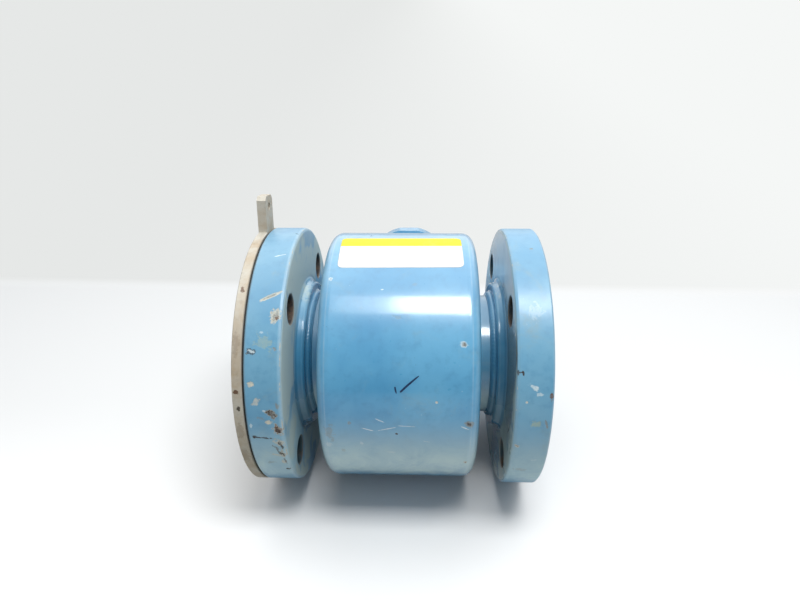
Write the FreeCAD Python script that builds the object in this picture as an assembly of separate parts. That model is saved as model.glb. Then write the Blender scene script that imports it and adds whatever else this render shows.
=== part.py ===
import FreeCAD, Part

import math
import os

# Sensor of an electromagnetic flow meter, 3 inch, Class 150, with a grounding ring on its inlet.
#
# Units are millimetres. The flow axis is X and the origin is the middle of the bore. Every piece is
# drawn with the neck and the terminal box along +Y, and the whole meter is then rolled about the
# flow axis until it lies on its two flanges and on a flat of the terminal cover.

V = FreeCAD.Vector
ORIGIN = V(0, 0, 0)
FLOW_AXIS = V(1, 0, 0)
HEAD_AXIS = V(0, 1, 0)
ELECTRODE_AXIS = V(0, 0, 1)

# ---- Driving dimensions -------------------------------------------------------------------------

LAY_LENGTH = 200.0          # liner face to liner face

# Flow tube (3 inch pipe) and its liner
TUBE_R = 44.45
TUBE_WALL = 5.5
LINER_WALL = 3.15
FLARE_R = 60.0
FLARE_T = 3.0
BORE_R = TUBE_R - TUBE_WALL - LINER_WALL
LINER_FACE_X = LAY_LENGTH / 2
RAISED_FACE_X = LINER_FACE_X - FLARE_T

# Slip-on flanges
FLANGE_R = 95.25
FLANGE_T = 23.4             # without the raised face
RAISED_FACE_R = 63.5
RAISED_FACE_T = 1.2
HUB_R = 54.0
HUB_LENGTH = 5.9            # beyond the back of the flange
HUB_ROOT = 4.0
HUB_BREAK = 1.0
WELD_LEG = 3.9              # fillet weld between the end of the hub and the tube
RIM_BREAK = 1.0
RIM_ROUNDING = 2.2          # at the back of the flange
ROUNDING_STEP = 0.3         # where the middle corner of a two-step rounding lies, per size
BOLT_CIRCLE_R = 76.2
BOLT_HOLE_R = 9.525
BOLT_HOLE_BREAK = 1.0
BOLT_COUNT = 4
FLANGE_FACE_X = RAISED_FACE_X - RAISED_FACE_T
FLANGE_BACK_X = FLANGE_FACE_X - FLANGE_T

# Grounding ring, with its recess over the liner's flare, and its gasket
RING_T = 6.35
RING_BORE_R = 38.9
RING_BREAK = 0.5
RECESS_ROOM = 0.5
TAB_WIDTH = 19.0
TAB_TIP_R = 120.2
TAB_HOLE_R = 2.75
TAB_HOLE_AT_R = 112.5
TAB_BEVEL = 3.0
TAB_ANGLE = 87.5            # from the head towards +Z
GASKET_SETBACK = 1.5        # from the rim of the flange
RING_OUTER_X = RAISED_FACE_X + RING_T
RECESS_R = FLARE_R + RECESS_ROOM
GASKET_OUTER_R = FLANGE_R - GASKET_SETBACK

# Housing: a rolled band between two pressed ends
HOUSING_R = 91.6
HOUSING_HALF = 52.2
HOUSING_WALL = 2.5
SHOULDER_R = 8.0
BAND_HALF = HOUSING_HALF - SHOULDER_R
HOUSING_INNER_R = HOUSING_R - HOUSING_WALL

# Electrodes, square to the head
ELECTRODE_HEAD_R = 5.0
ELECTRODE_HEAD_T = 1.6
STEM_R = 2.4
STEM_END = 66.0
BUSH_R = 6.0
BUSH_COLLAR_R = 9.0
BUSH_COLLAR_T = 4.0
BUSH_COLLAR_DIP = 2.0       # down to where the collar's seat meets the round of the tube
BUSH_TOP = TUBE_R + BUSH_COLLAR_T
SPRING_BORE_R = 2.6
SPRING_R = 6.5
SPRING_RISE = 1.6
SPRING_T = 0.8
SPRING_TOP = BUSH_TOP + 2 * SPRING_RISE + SPRING_T
NUT_FLATS = 8.0
NUT_T = 4.0

# Magnet: two coils on cores with saddle shoes, closed by a yoke
SHOE_T = 4.5
SHOE_HALF_X = 27.0
SHOE_HALF_ANGLE = 50.0
CORE_R = 13.0
COIL_INNER_R = 16.0
COIL_OUTER_R = 31.0
FORMER_R = 34.0
FORMER_CHEEK = 2.0
COIL_BOTTOM = 50.5
COIL_TOP = 75.0
YOKE_INNER_R = 83.0
YOKE_OUTER_R = 86.0
YOKE_HALF_X = 26.0
YOKE_SCREW_R = 3.0
YOKE_SCREW_HEAD_R = 5.6
YOKE_SCREW_LENGTH = 18.0

# Neck between the housing and the terminal box
NECK_R = 21.0
NECK_BORE_R = 15.0
NECK_FLANGE_R = 34.0
NECK_FLANGE_T = 8.0
NECK_TOP = 156.5
NECK_FLARE = 3.0
NECK_SINK = 10.0            # inside the housing's wall, before the neck is cut to the housing
GASKET_T = 1.5
GASKET_MARGIN = 1.0
FOOT_SCREW_CIRCLE_R = 28.0
FOOT_SCREW_R = 3.0
FOOT_SCREW_HEAD_R = 4.6
FOOT_SCREW_HEAD_T = 4.0
FOOT_SCREW_REACH = 7.0      # below the foot of the box, into the neck

# Terminal box: a round casting with a screwed cover
BOX_BOTTOM = NECK_TOP + GASKET_T
BOX_R = 40.5
BOX_WALL = 5.0
BOX_FLOOR = 8.0
BOX_FOOT_R = NECK_FLANGE_R
BOX_FOOT_T = 3.0
BOX_RIM_T = 8.0
BOX_RIM_TAPER = 1.5
COVER_R = 47.2
COVER_FLAT = 46.0           # from the head's axis to the two flats of the rim and the cover
COVER_T = 11.0
COVER_EDGE = 1.5
COVER_HOLLOW = 4.5
COVER_LEDGE = 1.0           # of the cover's hollow inside the wall of the box
HEAD_END = 247.0
COVER_SEAT = HEAD_END - COVER_T
FLOOR_TOP = BOX_BOTTOM + BOX_FLOOR
CAVITY_R = BOX_R - BOX_WALL
LEAD_HOLE_R = 12.0
SEAL_R = 38.0
SEAL_WIDTH = 2.0
SEAL_DEPTH = 1.6
LUG_COUNT = 4
LUG_CIRCLE_R = 41.6
LUG_R = 5.2
LUG_LENGTH = 22.0
LUG_TAPER = 9.0
LUG_TIP_R = 0.5
COVER_SCREW_R = 2.0
COVER_SCREW_HEAD_R = 3.3
COVER_SCREW_HEAD_T = 4.0
COVER_SCREW_REACH = 12.0    # below the seat of the cover
SCREW_CLEARANCE = 0.3
HEX_KEY_FLATS = 3.0
HEX_KEY_DEPTH = 2.0
DISH_R = 26.0
DISH_DEPTH = 1.5

# Conduit entries of the terminal box, one at each end of a line along the flow
CONDUIT_R = 9.9
CONDUIT_BOSS_R = 15.5
CONDUIT_BOSS_END = 58.0
CONDUIT_LIP_R = 17.0
CONDUIT_LIP_T = 6.0
CONDUIT_AT = 198.0
CONDUIT_BREAK = 1.0
RIB_T = 5.0
RIB_DROP = 12.0
RIB_OVERLAP = 1.0

# Terminals
BLOCK_HALF_X = 24.0
BLOCK_HALF_Z = 10.0
BLOCK_T = 18.0
TERMINAL_PITCH = 12.0
TERMINAL_ROW = 5.0
TERMINALS_PER_ROW = 4
TERMINAL_SCREW_R = 2.6
TERMINAL_SCREW_T = 2.0
TERMINAL_WELL_ROOM = 0.8
TERMINAL_SLOT_WIDTH = 0.8
TERMINAL_SLOT_DEPTH = 1.0
EARTH_SCREW_AT = 29.0
EARTH_SCREW_R = 4.0
EARTH_SCREW_T = 3.0
EARTH_SCREW_REACH = 5.0

# Leads, which leave the yoke's space past its edge and rise inside the neck
WIRE_R = 1.2
MITRED = 1
WIRE_SIDE_X = 38.0
WIRE_SIDE_Y = 76.0
WIRE_SIDE_Z = 20.0
WIRE_OVER_YOKE = 87.35
WIRE_NECK_X = 8.0
WIRE_NECK_Z = 6.0
WIRE_OVER_X = 33.0
COIL_LEAD_X = 30.0
COIL_LEAD_Z = 8.0
COIL_LEAD_RISE = 8.0

# The roll about the flow axis that brings the edge of the cover's flat down to the level of the rims
COVER_EDGE_AT = HEAD_END - COVER_EDGE + COVER_R - COVER_FLAT
COVER_EDGE_REACH = math.hypot(COVER_EDGE_AT, COVER_FLAT)
REST_ROLL = math.degrees(
    math.asin(FLANGE_R / COVER_EDGE_REACH) - math.atan2(COVER_FLAT, COVER_EDGE_AT)
)


# ---- Shapes used by several pieces --------------------------------------------------------------

def rounded_outline(corners):
    """Closed wire through (point, radius) corners, with a tangent arc at each rounded corner."""
    count = len(corners)
    starts = []
    ends = []
    edges = []
    for index, (point, radius) in enumerate(corners):
        if radius == 0:
            starts.append(point)
            ends.append(point)
            continue
        back = (corners[index - 1][0] - point).normalize()
        ahead = (corners[(index + 1) % count][0] - point).normalize()
        half_turn = back.getAngle(ahead) / 2
        reach = radius / math.tan(half_turn)
        middle = point + (back + ahead).normalize() * (radius / math.sin(half_turn) - radius)
        starts.append(point + back * reach)
        ends.append(point + ahead * reach)
        edges.append(Part.Arc(starts[-1], middle, ends[-1]).toShape())
    for index in range(count):
        following = starts[(index + 1) % count]
        if ends[index].distanceToPoint(following) > 1e-6:
            edges.append(Part.makeLine(ends[index], following))
    return Part.Wire(Part.sortEdges(edges)[0])


def turned(corners, axis):
    """Solid of revolution from (along, radius) or (along, radius, rounding) corners."""
    points = []
    for along, radius, *rounding in corners:
        if axis == FLOW_AXIS:
            point = V(along, radius, 0)
        else:
            point = V(radius, along, 0)
        points.append((point, rounding[0] if rounding else 0))
    return Part.Face(rounded_outline(points)).revolve(ORIGIN, axis, 360)


def cylinder(radius, start, end, axis, offset=ORIGIN):
    """Round bar between two distances along an axis, moved sideways by an offset."""
    return Part.makeCylinder(radius, end - start, axis * start + offset, axis)


def around(axis, radius, count, first=None):
    """Evenly spaced places on a circle about an axis, straddling the main directions by default."""
    step = 360.0 / count
    first = step / 2 if first is None else first
    places = []
    for index in range(count):
        angle = math.radians(first + index * step)
        if axis == FLOW_AXIS:
            places.append(V(0, radius * math.cos(angle), radius * math.sin(angle)))
        else:
            places.append(V(radius * math.cos(angle), 0, radius * math.sin(angle)))
    return places


def hexagon(across_flats, start, end, axis, offset=ORIGIN):
    """Hexagonal bar along the head or the electrode axis."""
    corner_r = across_flats / math.sqrt(3)
    points = []
    for index in range(7):
        angle = math.radians(60 * index)
        first = corner_r * math.cos(angle)
        second = corner_r * math.sin(angle)
        flat = V(first, 0, second) if axis == HEAD_AXIS else V(first, second, 0)
        points.append(flat + axis * start + offset)
    return Part.Face(Part.makePolygon(points)).extrude(axis * (end - start))


def opposite(piece):
    """The piece half a turn about the flow axis away."""
    copy = piece.copy()
    copy.rotate(ORIGIN, FLOW_AXIS, 180)
    return copy


def pair(piece):
    """The piece and its opposite, as two separate solids."""
    return Part.makeCompound([piece, opposite(piece)])


def mirrored(piece):
    """The same piece for the other end of the meter."""
    return piece.mirror(ORIGIN, FLOW_AXIS)


# ---- Flow tube, liner and flanges ---------------------------------------------------------------

def electrode_holes(radius):
    return cylinder(radius, -TUBE_R - 1, TUBE_R + 1, ELECTRODE_AXIS)


def flow_tube():
    tube = cylinder(TUBE_R, -RAISED_FACE_X, RAISED_FACE_X, FLOW_AXIS)
    tube = tube.cut(cylinder(TUBE_R - TUBE_WALL, -RAISED_FACE_X, RAISED_FACE_X, FLOW_AXIS))
    return tube.cut(electrode_holes(BUSH_R))


def liner():
    """Moulded sleeve whose ends turn out over the raised faces."""
    outer_r = TUBE_R - TUBE_WALL
    sleeve = turned([
        (-LINER_FACE_X, BORE_R), (-LINER_FACE_X, FLARE_R),
        (-RAISED_FACE_X, FLARE_R), (-RAISED_FACE_X, outer_r),
        (RAISED_FACE_X, outer_r), (RAISED_FACE_X, FLARE_R),
        (LINER_FACE_X, FLARE_R), (LINER_FACE_X, BORE_R),
    ], FLOW_AXIS)
    sleeve = sleeve.cut(electrode_holes(STEM_R))
    seat_depth = BORE_R + ELECTRODE_HEAD_T
    return sleeve.cut(cylinder(ELECTRODE_HEAD_R, -seat_depth, seat_depth, ELECTRODE_AXIS))


def bolt_holes(start, end, chamfered_at):
    """The holes of the bolt circle, with their mouths broken at the faces named."""
    holes = []
    for place in around(FLOW_AXIS, BOLT_CIRCLE_R, BOLT_COUNT):
        hole = cylinder(BOLT_HOLE_R, start, end, FLOW_AXIS, place)
        for face_x, inward in chamfered_at:
            mouth = Part.makeCone(
                BOLT_HOLE_R + BOLT_HOLE_BREAK, BOLT_HOLE_R, BOLT_HOLE_BREAK,
                V(face_x, 0, 0) + place, V(inward, 0, 0))
            hole = hole.fuse(mouth)
        holes.append(hole)
    return Part.makeCompound(holes)


def outlet_flange():
    """Slip-on flange with its raised face, its hub and the fillet weld down to the tube."""
    hub_end = FLANGE_BACK_X - HUB_LENGTH
    root_step = ROUNDING_STEP * HUB_ROOT
    rim_step = ROUNDING_STEP * RIM_ROUNDING
    body = turned([
        (FLANGE_FACE_X, RAISED_FACE_R), (RAISED_FACE_X, RAISED_FACE_R),
        (RAISED_FACE_X, TUBE_R), (hub_end - WELD_LEG, TUBE_R), (hub_end, TUBE_R + WELD_LEG),
        (hub_end, HUB_R - HUB_BREAK), (hub_end + HUB_BREAK, HUB_R),
        (FLANGE_BACK_X - HUB_ROOT, HUB_R), (FLANGE_BACK_X - root_step, HUB_R + root_step),
        (FLANGE_BACK_X, HUB_R + HUB_ROOT), (FLANGE_BACK_X, FLANGE_R - RIM_ROUNDING),
        (FLANGE_BACK_X + rim_step, FLANGE_R - rim_step), (FLANGE_BACK_X + RIM_ROUNDING, FLANGE_R),
        (FLANGE_FACE_X - RIM_BREAK, FLANGE_R), (FLANGE_FACE_X, FLANGE_R - RIM_BREAK),
    ], FLOW_AXIS)
    mouths = [(FLANGE_FACE_X, -1), (FLANGE_BACK_X, 1)]
    return body.cut(bolt_holes(FLANGE_BACK_X, FLANGE_FACE_X, mouths))


# ---- Grounding ring -----------------------------------------------------------------------------

def ground_ring():
    """Ring the size of the flange, recessed over the liner, with a tab for the earth strap."""
    recess_x = -LINER_FACE_X
    ring = turned([
        (-RAISED_FACE_X, RECESS_R), (-RAISED_FACE_X, FLANGE_R - RING_BREAK),
        (-RAISED_FACE_X - RING_BREAK, FLANGE_R), (-RING_OUTER_X + RING_BREAK, FLANGE_R),
        (-RING_OUTER_X, FLANGE_R - RING_BREAK), (-RING_OUTER_X, RING_BORE_R),
        (recess_x, RING_BORE_R), (recess_x, RECESS_R),
    ], FLOW_AXIS)
    half = TAB_WIDTH / 2
    root_r = BOLT_CIRCLE_R
    tab_outline = [
        V(-RING_OUTER_X, root_r, -half), V(-RING_OUTER_X, TAB_TIP_R - TAB_BEVEL, -half),
        V(-RING_OUTER_X, TAB_TIP_R, -half + TAB_BEVEL), V(-RING_OUTER_X, TAB_TIP_R, half - TAB_BEVEL),
        V(-RING_OUTER_X, TAB_TIP_R - TAB_BEVEL, half), V(-RING_OUTER_X, root_r, half),
    ]
    tab = Part.Face(Part.makePolygon(tab_outline + tab_outline[:1])).extrude(FLOW_AXIS * RING_T)
    tab = tab.cut(cylinder(TAB_HOLE_R, -RING_OUTER_X, -RAISED_FACE_X, FLOW_AXIS,
                           V(0, TAB_HOLE_AT_R, 0)))
    tab.rotate(ORIGIN, FLOW_AXIS, TAB_ANGLE)
    mouths = [(-RING_OUTER_X, 1)]
    return ring.fuse(tab).removeSplitter().cut(bolt_holes(-RING_OUTER_X, -RAISED_FACE_X, mouths))


def ring_gasket():
    """Sheet that fills the step of the raised face under the grounding ring."""
    gasket = turned([
        (-FLANGE_FACE_X, RAISED_FACE_R), (-FLANGE_FACE_X, GASKET_OUTER_R),
        (-RAISED_FACE_X, GASKET_OUTER_R), (-RAISED_FACE_X, RAISED_FACE_R),
    ], FLOW_AXIS)
    hole_r = BOLT_HOLE_R + BOLT_HOLE_BREAK
    for place in around(FLOW_AXIS, BOLT_CIRCLE_R, BOLT_COUNT):
        gasket = gasket.cut(cylinder(hole_r, -RAISED_FACE_X, -FLANGE_FACE_X, FLOW_AXIS, place))
    return gasket


# ---- Housing ------------------------------------------------------------------------------------

def housing_band():
    band = turned([
        (-BAND_HALF, HOUSING_INNER_R), (-BAND_HALF, HOUSING_R),
        (BAND_HALF, HOUSING_R), (BAND_HALF, HOUSING_INNER_R),
    ], FLOW_AXIS)
    return band.cut(cylinder(NECK_BORE_R, HOUSING_INNER_R - NECK_SINK, HOUSING_R + 1, HEAD_AXIS))


def housing_end_outlet():
    """Pressed end: a flat disc turned over a round shoulder to meet the band."""
    inner_x = HOUSING_HALF - HOUSING_WALL
    return turned([
        (BAND_HALF, HOUSING_INNER_R), (BAND_HALF, HOUSING_R),
        (HOUSING_HALF, HOUSING_R, SHOULDER_R), (HOUSING_HALF, TUBE_R),
        (inner_x, TUBE_R), (inner_x, HOUSING_INNER_R - SHOULDER_R + HOUSING_WALL),
    ], FLOW_AXIS)


# ---- Electrodes ---------------------------------------------------------------------------------

def electrode():
    """Round head flush with the bore and a stem out through the tube."""
    head = cylinder(ELECTRODE_HEAD_R, BORE_R, BORE_R + ELECTRODE_HEAD_T, ELECTRODE_AXIS)
    return head.fuse(cylinder(STEM_R, BORE_R, STEM_END, ELECTRODE_AXIS)).removeSplitter()


def electrode_bush():
    """Insulating sleeve in the wall of the tube, with a collar outside."""
    bush = cylinder(BUSH_R, TUBE_R - TUBE_WALL, BUSH_TOP, ELECTRODE_AXIS)
    bush = bush.cut(cylinder(TUBE_R - TUBE_WALL, -BUSH_R, BUSH_R, FLOW_AXIS))
    bush = bush.fuse(cylinder(BUSH_COLLAR_R, TUBE_R - BUSH_COLLAR_DIP, BUSH_TOP, ELECTRODE_AXIS).cut(
        cylinder(TUBE_R, -BUSH_COLLAR_R, BUSH_COLLAR_R, FLOW_AXIS)))
    return bush.removeSplitter().cut(cylinder(STEM_R, 0, BUSH_TOP, ELECTRODE_AXIS))


def electrode_spring():
    """Two disc springs set cup to cup, pressed together at their rims."""
    discs = []
    level = BUSH_TOP
    for low_r, high_r in ((SPRING_BORE_R, SPRING_R), (SPRING_R, SPRING_BORE_R)):
        section = Part.makePolygon([
            V(low_r, 0, level), V(high_r, 0, level + SPRING_RISE),
            V(high_r, 0, level + SPRING_RISE + SPRING_T), V(low_r, 0, level + SPRING_T),
            V(low_r, 0, level),
        ])
        discs.append(Part.Face(section).revolve(ORIGIN, ELECTRODE_AXIS, 360))
        level += SPRING_RISE
    return discs[0].fuse(discs[1]).removeSplitter()


def electrode_nut():
    nut = hexagon(NUT_FLATS, SPRING_TOP, SPRING_TOP + NUT_T, ELECTRODE_AXIS)
    return nut.cut(cylinder(STEM_R, SPRING_TOP, SPRING_TOP + NUT_T, ELECTRODE_AXIS))


# ---- Magnet -------------------------------------------------------------------------------------

def saddle(inner_r, outer_r, half_x, half_angle):
    """Part of a band about the flow axis, centred on the head axis."""
    band = cylinder(outer_r, -half_x, half_x, FLOW_AXIS)
    band = band.cut(cylinder(inner_r, -half_x, half_x, FLOW_AXIS))
    reach = 2 * outer_r
    edge = V(0, reach, reach * math.tan(math.radians(half_angle)))
    other_edge = V(0, reach, -edge.z)
    corner = V(-half_x, 0, 0)
    wedge = Part.Face(Part.makePolygon([corner, corner + edge, corner + other_edge, corner]))
    return band.common(wedge.extrude(FLOW_AXIS * (2 * half_x)))


def pole_piece():
    """Saddle shoe that fits the tube, in one piece with the core that carries the coil."""
    shoe = saddle(TUBE_R, TUBE_R + SHOE_T, SHOE_HALF_X, SHOE_HALF_ANGLE)
    core = cylinder(CORE_R, TUBE_R, YOKE_INNER_R + 1, HEAD_AXIS)
    core = core.common(cylinder(YOKE_INNER_R, -CORE_R, CORE_R, FLOW_AXIS))
    core = core.cut(cylinder(TUBE_R, -CORE_R, CORE_R, FLOW_AXIS))
    return shoe.fuse(core).removeSplitter().cut(yoke_screw_shank())


def coil_former():
    """Bobbin with two cheeks."""
    return turned([
        (COIL_BOTTOM, CORE_R), (COIL_BOTTOM, FORMER_R),
        (COIL_BOTTOM + FORMER_CHEEK, FORMER_R), (COIL_BOTTOM + FORMER_CHEEK, COIL_INNER_R),
        (COIL_TOP - FORMER_CHEEK, COIL_INNER_R), (COIL_TOP - FORMER_CHEEK, FORMER_R),
        (COIL_TOP, FORMER_R), (COIL_TOP, CORE_R),
    ], HEAD_AXIS)


def coil():
    start = COIL_BOTTOM + FORMER_CHEEK
    end = COIL_TOP - FORMER_CHEEK
    winding = cylinder(COIL_OUTER_R, start, end, HEAD_AXIS)
    return winding.cut(cylinder(COIL_INNER_R, start, end, HEAD_AXIS))


def yoke_screw_shank():
    return cylinder(YOKE_SCREW_R, YOKE_OUTER_R - YOKE_SCREW_LENGTH, YOKE_OUTER_R, HEAD_AXIS)


def yoke_screw():
    """Countersunk screw from the yoke into the core, flush with the yoke."""
    cone_t = YOKE_SCREW_HEAD_R - YOKE_SCREW_R
    head = Part.makeCone(YOKE_SCREW_R, YOKE_SCREW_HEAD_R, cone_t,
                         HEAD_AXIS * (YOKE_OUTER_R - cone_t), HEAD_AXIS)
    screw = yoke_screw_shank().fuse(head)
    return screw.common(cylinder(YOKE_OUTER_R, -CORE_R, CORE_R, FLOW_AXIS)).removeSplitter()


def return_yoke():
    """Steel band that closes the field from one core round to the other."""
    band = cylinder(YOKE_OUTER_R, -YOKE_HALF_X, YOKE_HALF_X, FLOW_AXIS)
    band = band.cut(cylinder(YOKE_INNER_R, -YOKE_HALF_X, YOKE_HALF_X, FLOW_AXIS))
    return band.cut(pair(yoke_screw()))


# ---- Neck ---------------------------------------------------------------------------------------

def foot_screw_shanks(end):
    shanks = []
    for place in around(HEAD_AXIS, FOOT_SCREW_CIRCLE_R, LUG_COUNT):
        shanks.append(cylinder(FOOT_SCREW_R, BOX_BOTTOM - FOOT_SCREW_REACH, end, HEAD_AXIS, place))
    return Part.makeCompound(shanks)


def neck():
    """Pipe that stands on the housing and ends in a flange for the terminal box."""
    under_flange = NECK_TOP - NECK_FLANGE_T
    pipe = turned([
        (HOUSING_INNER_R - NECK_SINK, NECK_BORE_R), (HOUSING_INNER_R - NECK_SINK, NECK_R),
        (under_flange - NECK_FLARE, NECK_R), (under_flange, NECK_R + NECK_FLARE),
        (under_flange, NECK_FLANGE_R),
        (NECK_TOP, NECK_FLANGE_R), (NECK_TOP, NECK_BORE_R),
    ], HEAD_AXIS)
    pipe = pipe.cut(cylinder(HOUSING_R, -HOUSING_HALF, HOUSING_HALF, FLOW_AXIS))
    return pipe.cut(foot_screw_shanks(NECK_TOP))


def neck_gasket():
    gasket = turned([
        (NECK_TOP, NECK_BORE_R), (NECK_TOP, NECK_FLANGE_R - GASKET_MARGIN),
        (BOX_BOTTOM, NECK_FLANGE_R - GASKET_MARGIN), (BOX_BOTTOM, NECK_BORE_R),
    ], HEAD_AXIS)
    return gasket.cut(foot_screw_shanks(BOX_BOTTOM))


def neck_screws():
    """Screws from inside the terminal box down into the flange of the neck."""
    screws = []
    for place in around(HEAD_AXIS, FOOT_SCREW_CIRCLE_R, LUG_COUNT):
        shank = cylinder(FOOT_SCREW_R, BOX_BOTTOM - FOOT_SCREW_REACH, FLOOR_TOP, HEAD_AXIS, place)
        head_end = FLOOR_TOP + FOOT_SCREW_HEAD_T
        head = cylinder(FOOT_SCREW_HEAD_R, FLOOR_TOP, head_end, HEAD_AXIS, place)
        socket = hexagon(HEX_KEY_FLATS, head_end - HEX_KEY_DEPTH, head_end, HEAD_AXIS, place)
        screws.append(shank.fuse(head).cut(socket))
    return Part.makeCompound(screws)


# ---- Terminal box -------------------------------------------------------------------------------

def conduit_boss():
    """Boss of one cable entry, with a lip at its mouth and a rib that runs down to the foot."""
    mouth = CONDUIT_BOSS_END - CONDUIT_LIP_T
    on_axis = HEAD_AXIS * CONDUIT_AT
    boss = cylinder(CONDUIT_BOSS_R, 0, CONDUIT_BOSS_END, FLOW_AXIS, on_axis)
    boss = boss.fuse(cylinder(CONDUIT_LIP_R, mouth, CONDUIT_BOSS_END, FLOW_AXIS, on_axis))
    under = CONDUIT_AT - CONDUIT_BOSS_R + RIB_OVERLAP
    rib = Part.makePolygon([
        V(0, under, 0), V(mouth, under, 0), V(BOX_R, under - RIB_DROP, 0),
        V(0, under - RIB_DROP, 0), V(0, under, 0),
    ])
    rib = Part.Face(rib).extrude(ELECTRODE_AXIS * RIB_T)
    rib.translate(ELECTRODE_AXIS * (-RIB_T / 2))
    return boss.fuse(rib)


def conduit_hole():
    """Room for one cable entry, with its mouth broken."""
    on_axis = HEAD_AXIS * CONDUIT_AT
    hole = cylinder(CONDUIT_R, 0, CONDUIT_BOSS_END, FLOW_AXIS, on_axis)
    mouth = Part.makeCone(CONDUIT_R + CONDUIT_BREAK, CONDUIT_R, CONDUIT_BREAK,
                          V(CONDUIT_BOSS_END, CONDUIT_AT, 0), -FLOW_AXIS)
    return hole.fuse(mouth)


def cover_lug(place):
    """Boss for one cover screw, which runs out into the wall below."""
    lug = cylinder(LUG_R, COVER_SEAT - LUG_LENGTH + LUG_TAPER, COVER_SEAT, HEAD_AXIS, place)
    run_out = Part.makeCone(LUG_TIP_R, LUG_R, LUG_TAPER,
                            HEAD_AXIS * (COVER_SEAT - LUG_LENGTH) + place, HEAD_AXIS)
    return lug.fuse(run_out)


def cover_gasket():
    """Flat seal in the groove round the seat of the cover."""
    inner_r = SEAL_R - SEAL_WIDTH / 2
    outer_r = SEAL_R + SEAL_WIDTH / 2
    seal = cylinder(outer_r, COVER_SEAT - SEAL_DEPTH, COVER_SEAT, HEAD_AXIS)
    return seal.cut(cylinder(inner_r, COVER_SEAT - SEAL_DEPTH, COVER_SEAT, HEAD_AXIS))


def between_flats():
    """Room between the two flats of the rim and the cover."""
    length = 2 * CONDUIT_BOSS_END
    return Part.makeBox(length, HEAD_END, 2 * COVER_FLAT, V(-CONDUIT_BOSS_END, 0, -COVER_FLAT))


def terminal_box():
    """Round casting: foot, wall, two cable entries, screw bosses and a flat rim for the cover."""
    shell = turned([
        (BOX_BOTTOM, 0), (BOX_BOTTOM, BOX_FOOT_R), (BOX_BOTTOM + BOX_FOOT_T, BOX_FOOT_R),
        (BOX_BOTTOM + BOX_FOOT_T, BOX_R - BOX_FLOOR + BOX_FOOT_T), (FLOOR_TOP, BOX_R),
        (COVER_SEAT - BOX_RIM_T, BOX_R), (COVER_SEAT - BOX_RIM_T + BOX_RIM_TAPER, COVER_R),
        (COVER_SEAT, COVER_R), (COVER_SEAT, 0),
    ], HEAD_AXIS)
    shell = shell.fuse([conduit_boss(), mirrored(conduit_boss())])
    shell = shell.fuse([cover_lug(p) for p in around(HEAD_AXIS, LUG_CIRCLE_R, LUG_COUNT)])
    shell = shell.removeSplitter().common(between_flats())
    shell = shell.cut(cylinder(CAVITY_R, FLOOR_TOP, COVER_SEAT, HEAD_AXIS))
    shell = shell.cut([conduit_hole(), mirrored(conduit_hole())])
    shell = shell.cut(cylinder(LEAD_HOLE_R, BOX_BOTTOM, FLOOR_TOP, HEAD_AXIS))
    shell = shell.cut(foot_screw_shanks(FLOOR_TOP))
    shell = shell.cut(earth_screw())
    return shell.cut([cover_gasket(), cover_screw_shanks(COVER_SEAT)])


def cover_screw_shanks(end):
    shanks = []
    for place in around(HEAD_AXIS, LUG_CIRCLE_R, LUG_COUNT):
        start = COVER_SEAT - COVER_SCREW_REACH
        shanks.append(cylinder(COVER_SCREW_R, start, end, HEAD_AXIS, place))
    return Part.makeCompound(shanks)


def cover_screws():
    """Socket-head screws sunk just below the face of the cover."""
    top = HEAD_END - SCREW_CLEARANCE
    under_head = top - COVER_SCREW_HEAD_T
    screws = []
    for place in around(HEAD_AXIS, LUG_CIRCLE_R, LUG_COUNT):
        screw = cylinder(COVER_SCREW_R, COVER_SEAT - COVER_SCREW_REACH, under_head, HEAD_AXIS, place)
        screw = screw.fuse(cylinder(COVER_SCREW_HEAD_R, under_head, top, HEAD_AXIS, place))
        screws.append(screw.cut(hexagon(HEX_KEY_FLATS, top - HEX_KEY_DEPTH, top, HEAD_AXIS, place)))
    return Part.makeCompound(screws)


def terminal_cover():
    """Round cover, hollow below and dished above, with its screws in counterbores."""
    cover = turned([
        (COVER_SEAT, 0), (COVER_SEAT, COVER_R),
        (HEAD_END - COVER_EDGE, COVER_R), (HEAD_END, COVER_R - COVER_EDGE),
        (HEAD_END, DISH_R + DISH_DEPTH), (HEAD_END - DISH_DEPTH, DISH_R), (HEAD_END - DISH_DEPTH, 0),
    ], HEAD_AXIS)
    cover = cover.common(between_flats())
    hollow_r = CAVITY_R - COVER_LEDGE
    cover = cover.cut(cylinder(hollow_r, COVER_SEAT, COVER_SEAT + COVER_HOLLOW, HEAD_AXIS))
    under_head = HEAD_END - SCREW_CLEARANCE - COVER_SCREW_HEAD_T
    head_room = COVER_SCREW_HEAD_R + SCREW_CLEARANCE
    for place in around(HEAD_AXIS, LUG_CIRCLE_R, LUG_COUNT):
        cover = cover.cut(cylinder(COVER_SCREW_R, COVER_SEAT, HEAD_END, HEAD_AXIS, place))
        cover = cover.cut(cylinder(head_room, under_head, HEAD_END, HEAD_AXIS, place))
    return cover


# ---- Terminals and leads ------------------------------------------------------------------------

def terminal_places():
    places = []
    for row in (-1, 1):
        for index in range(TERMINALS_PER_ROW):
            along = (index - (TERMINALS_PER_ROW - 1) / 2) * TERMINAL_PITCH
            places.append(V(along, 0, row * TERMINAL_ROW))
    return places


def terminal_block():
    corner = V(-BLOCK_HALF_X, FLOOR_TOP, -BLOCK_HALF_Z)
    block = Part.makeBox(2 * BLOCK_HALF_X, BLOCK_T, 2 * BLOCK_HALF_Z, corner)
    top = FLOOR_TOP + BLOCK_T
    well_r = TERMINAL_SCREW_R + TERMINAL_WELL_ROOM
    for place in terminal_places():
        well = cylinder(well_r, top - TERMINAL_SCREW_T, top, HEAD_AXIS, place)
        block = block.cut(well)
    return block


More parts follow.
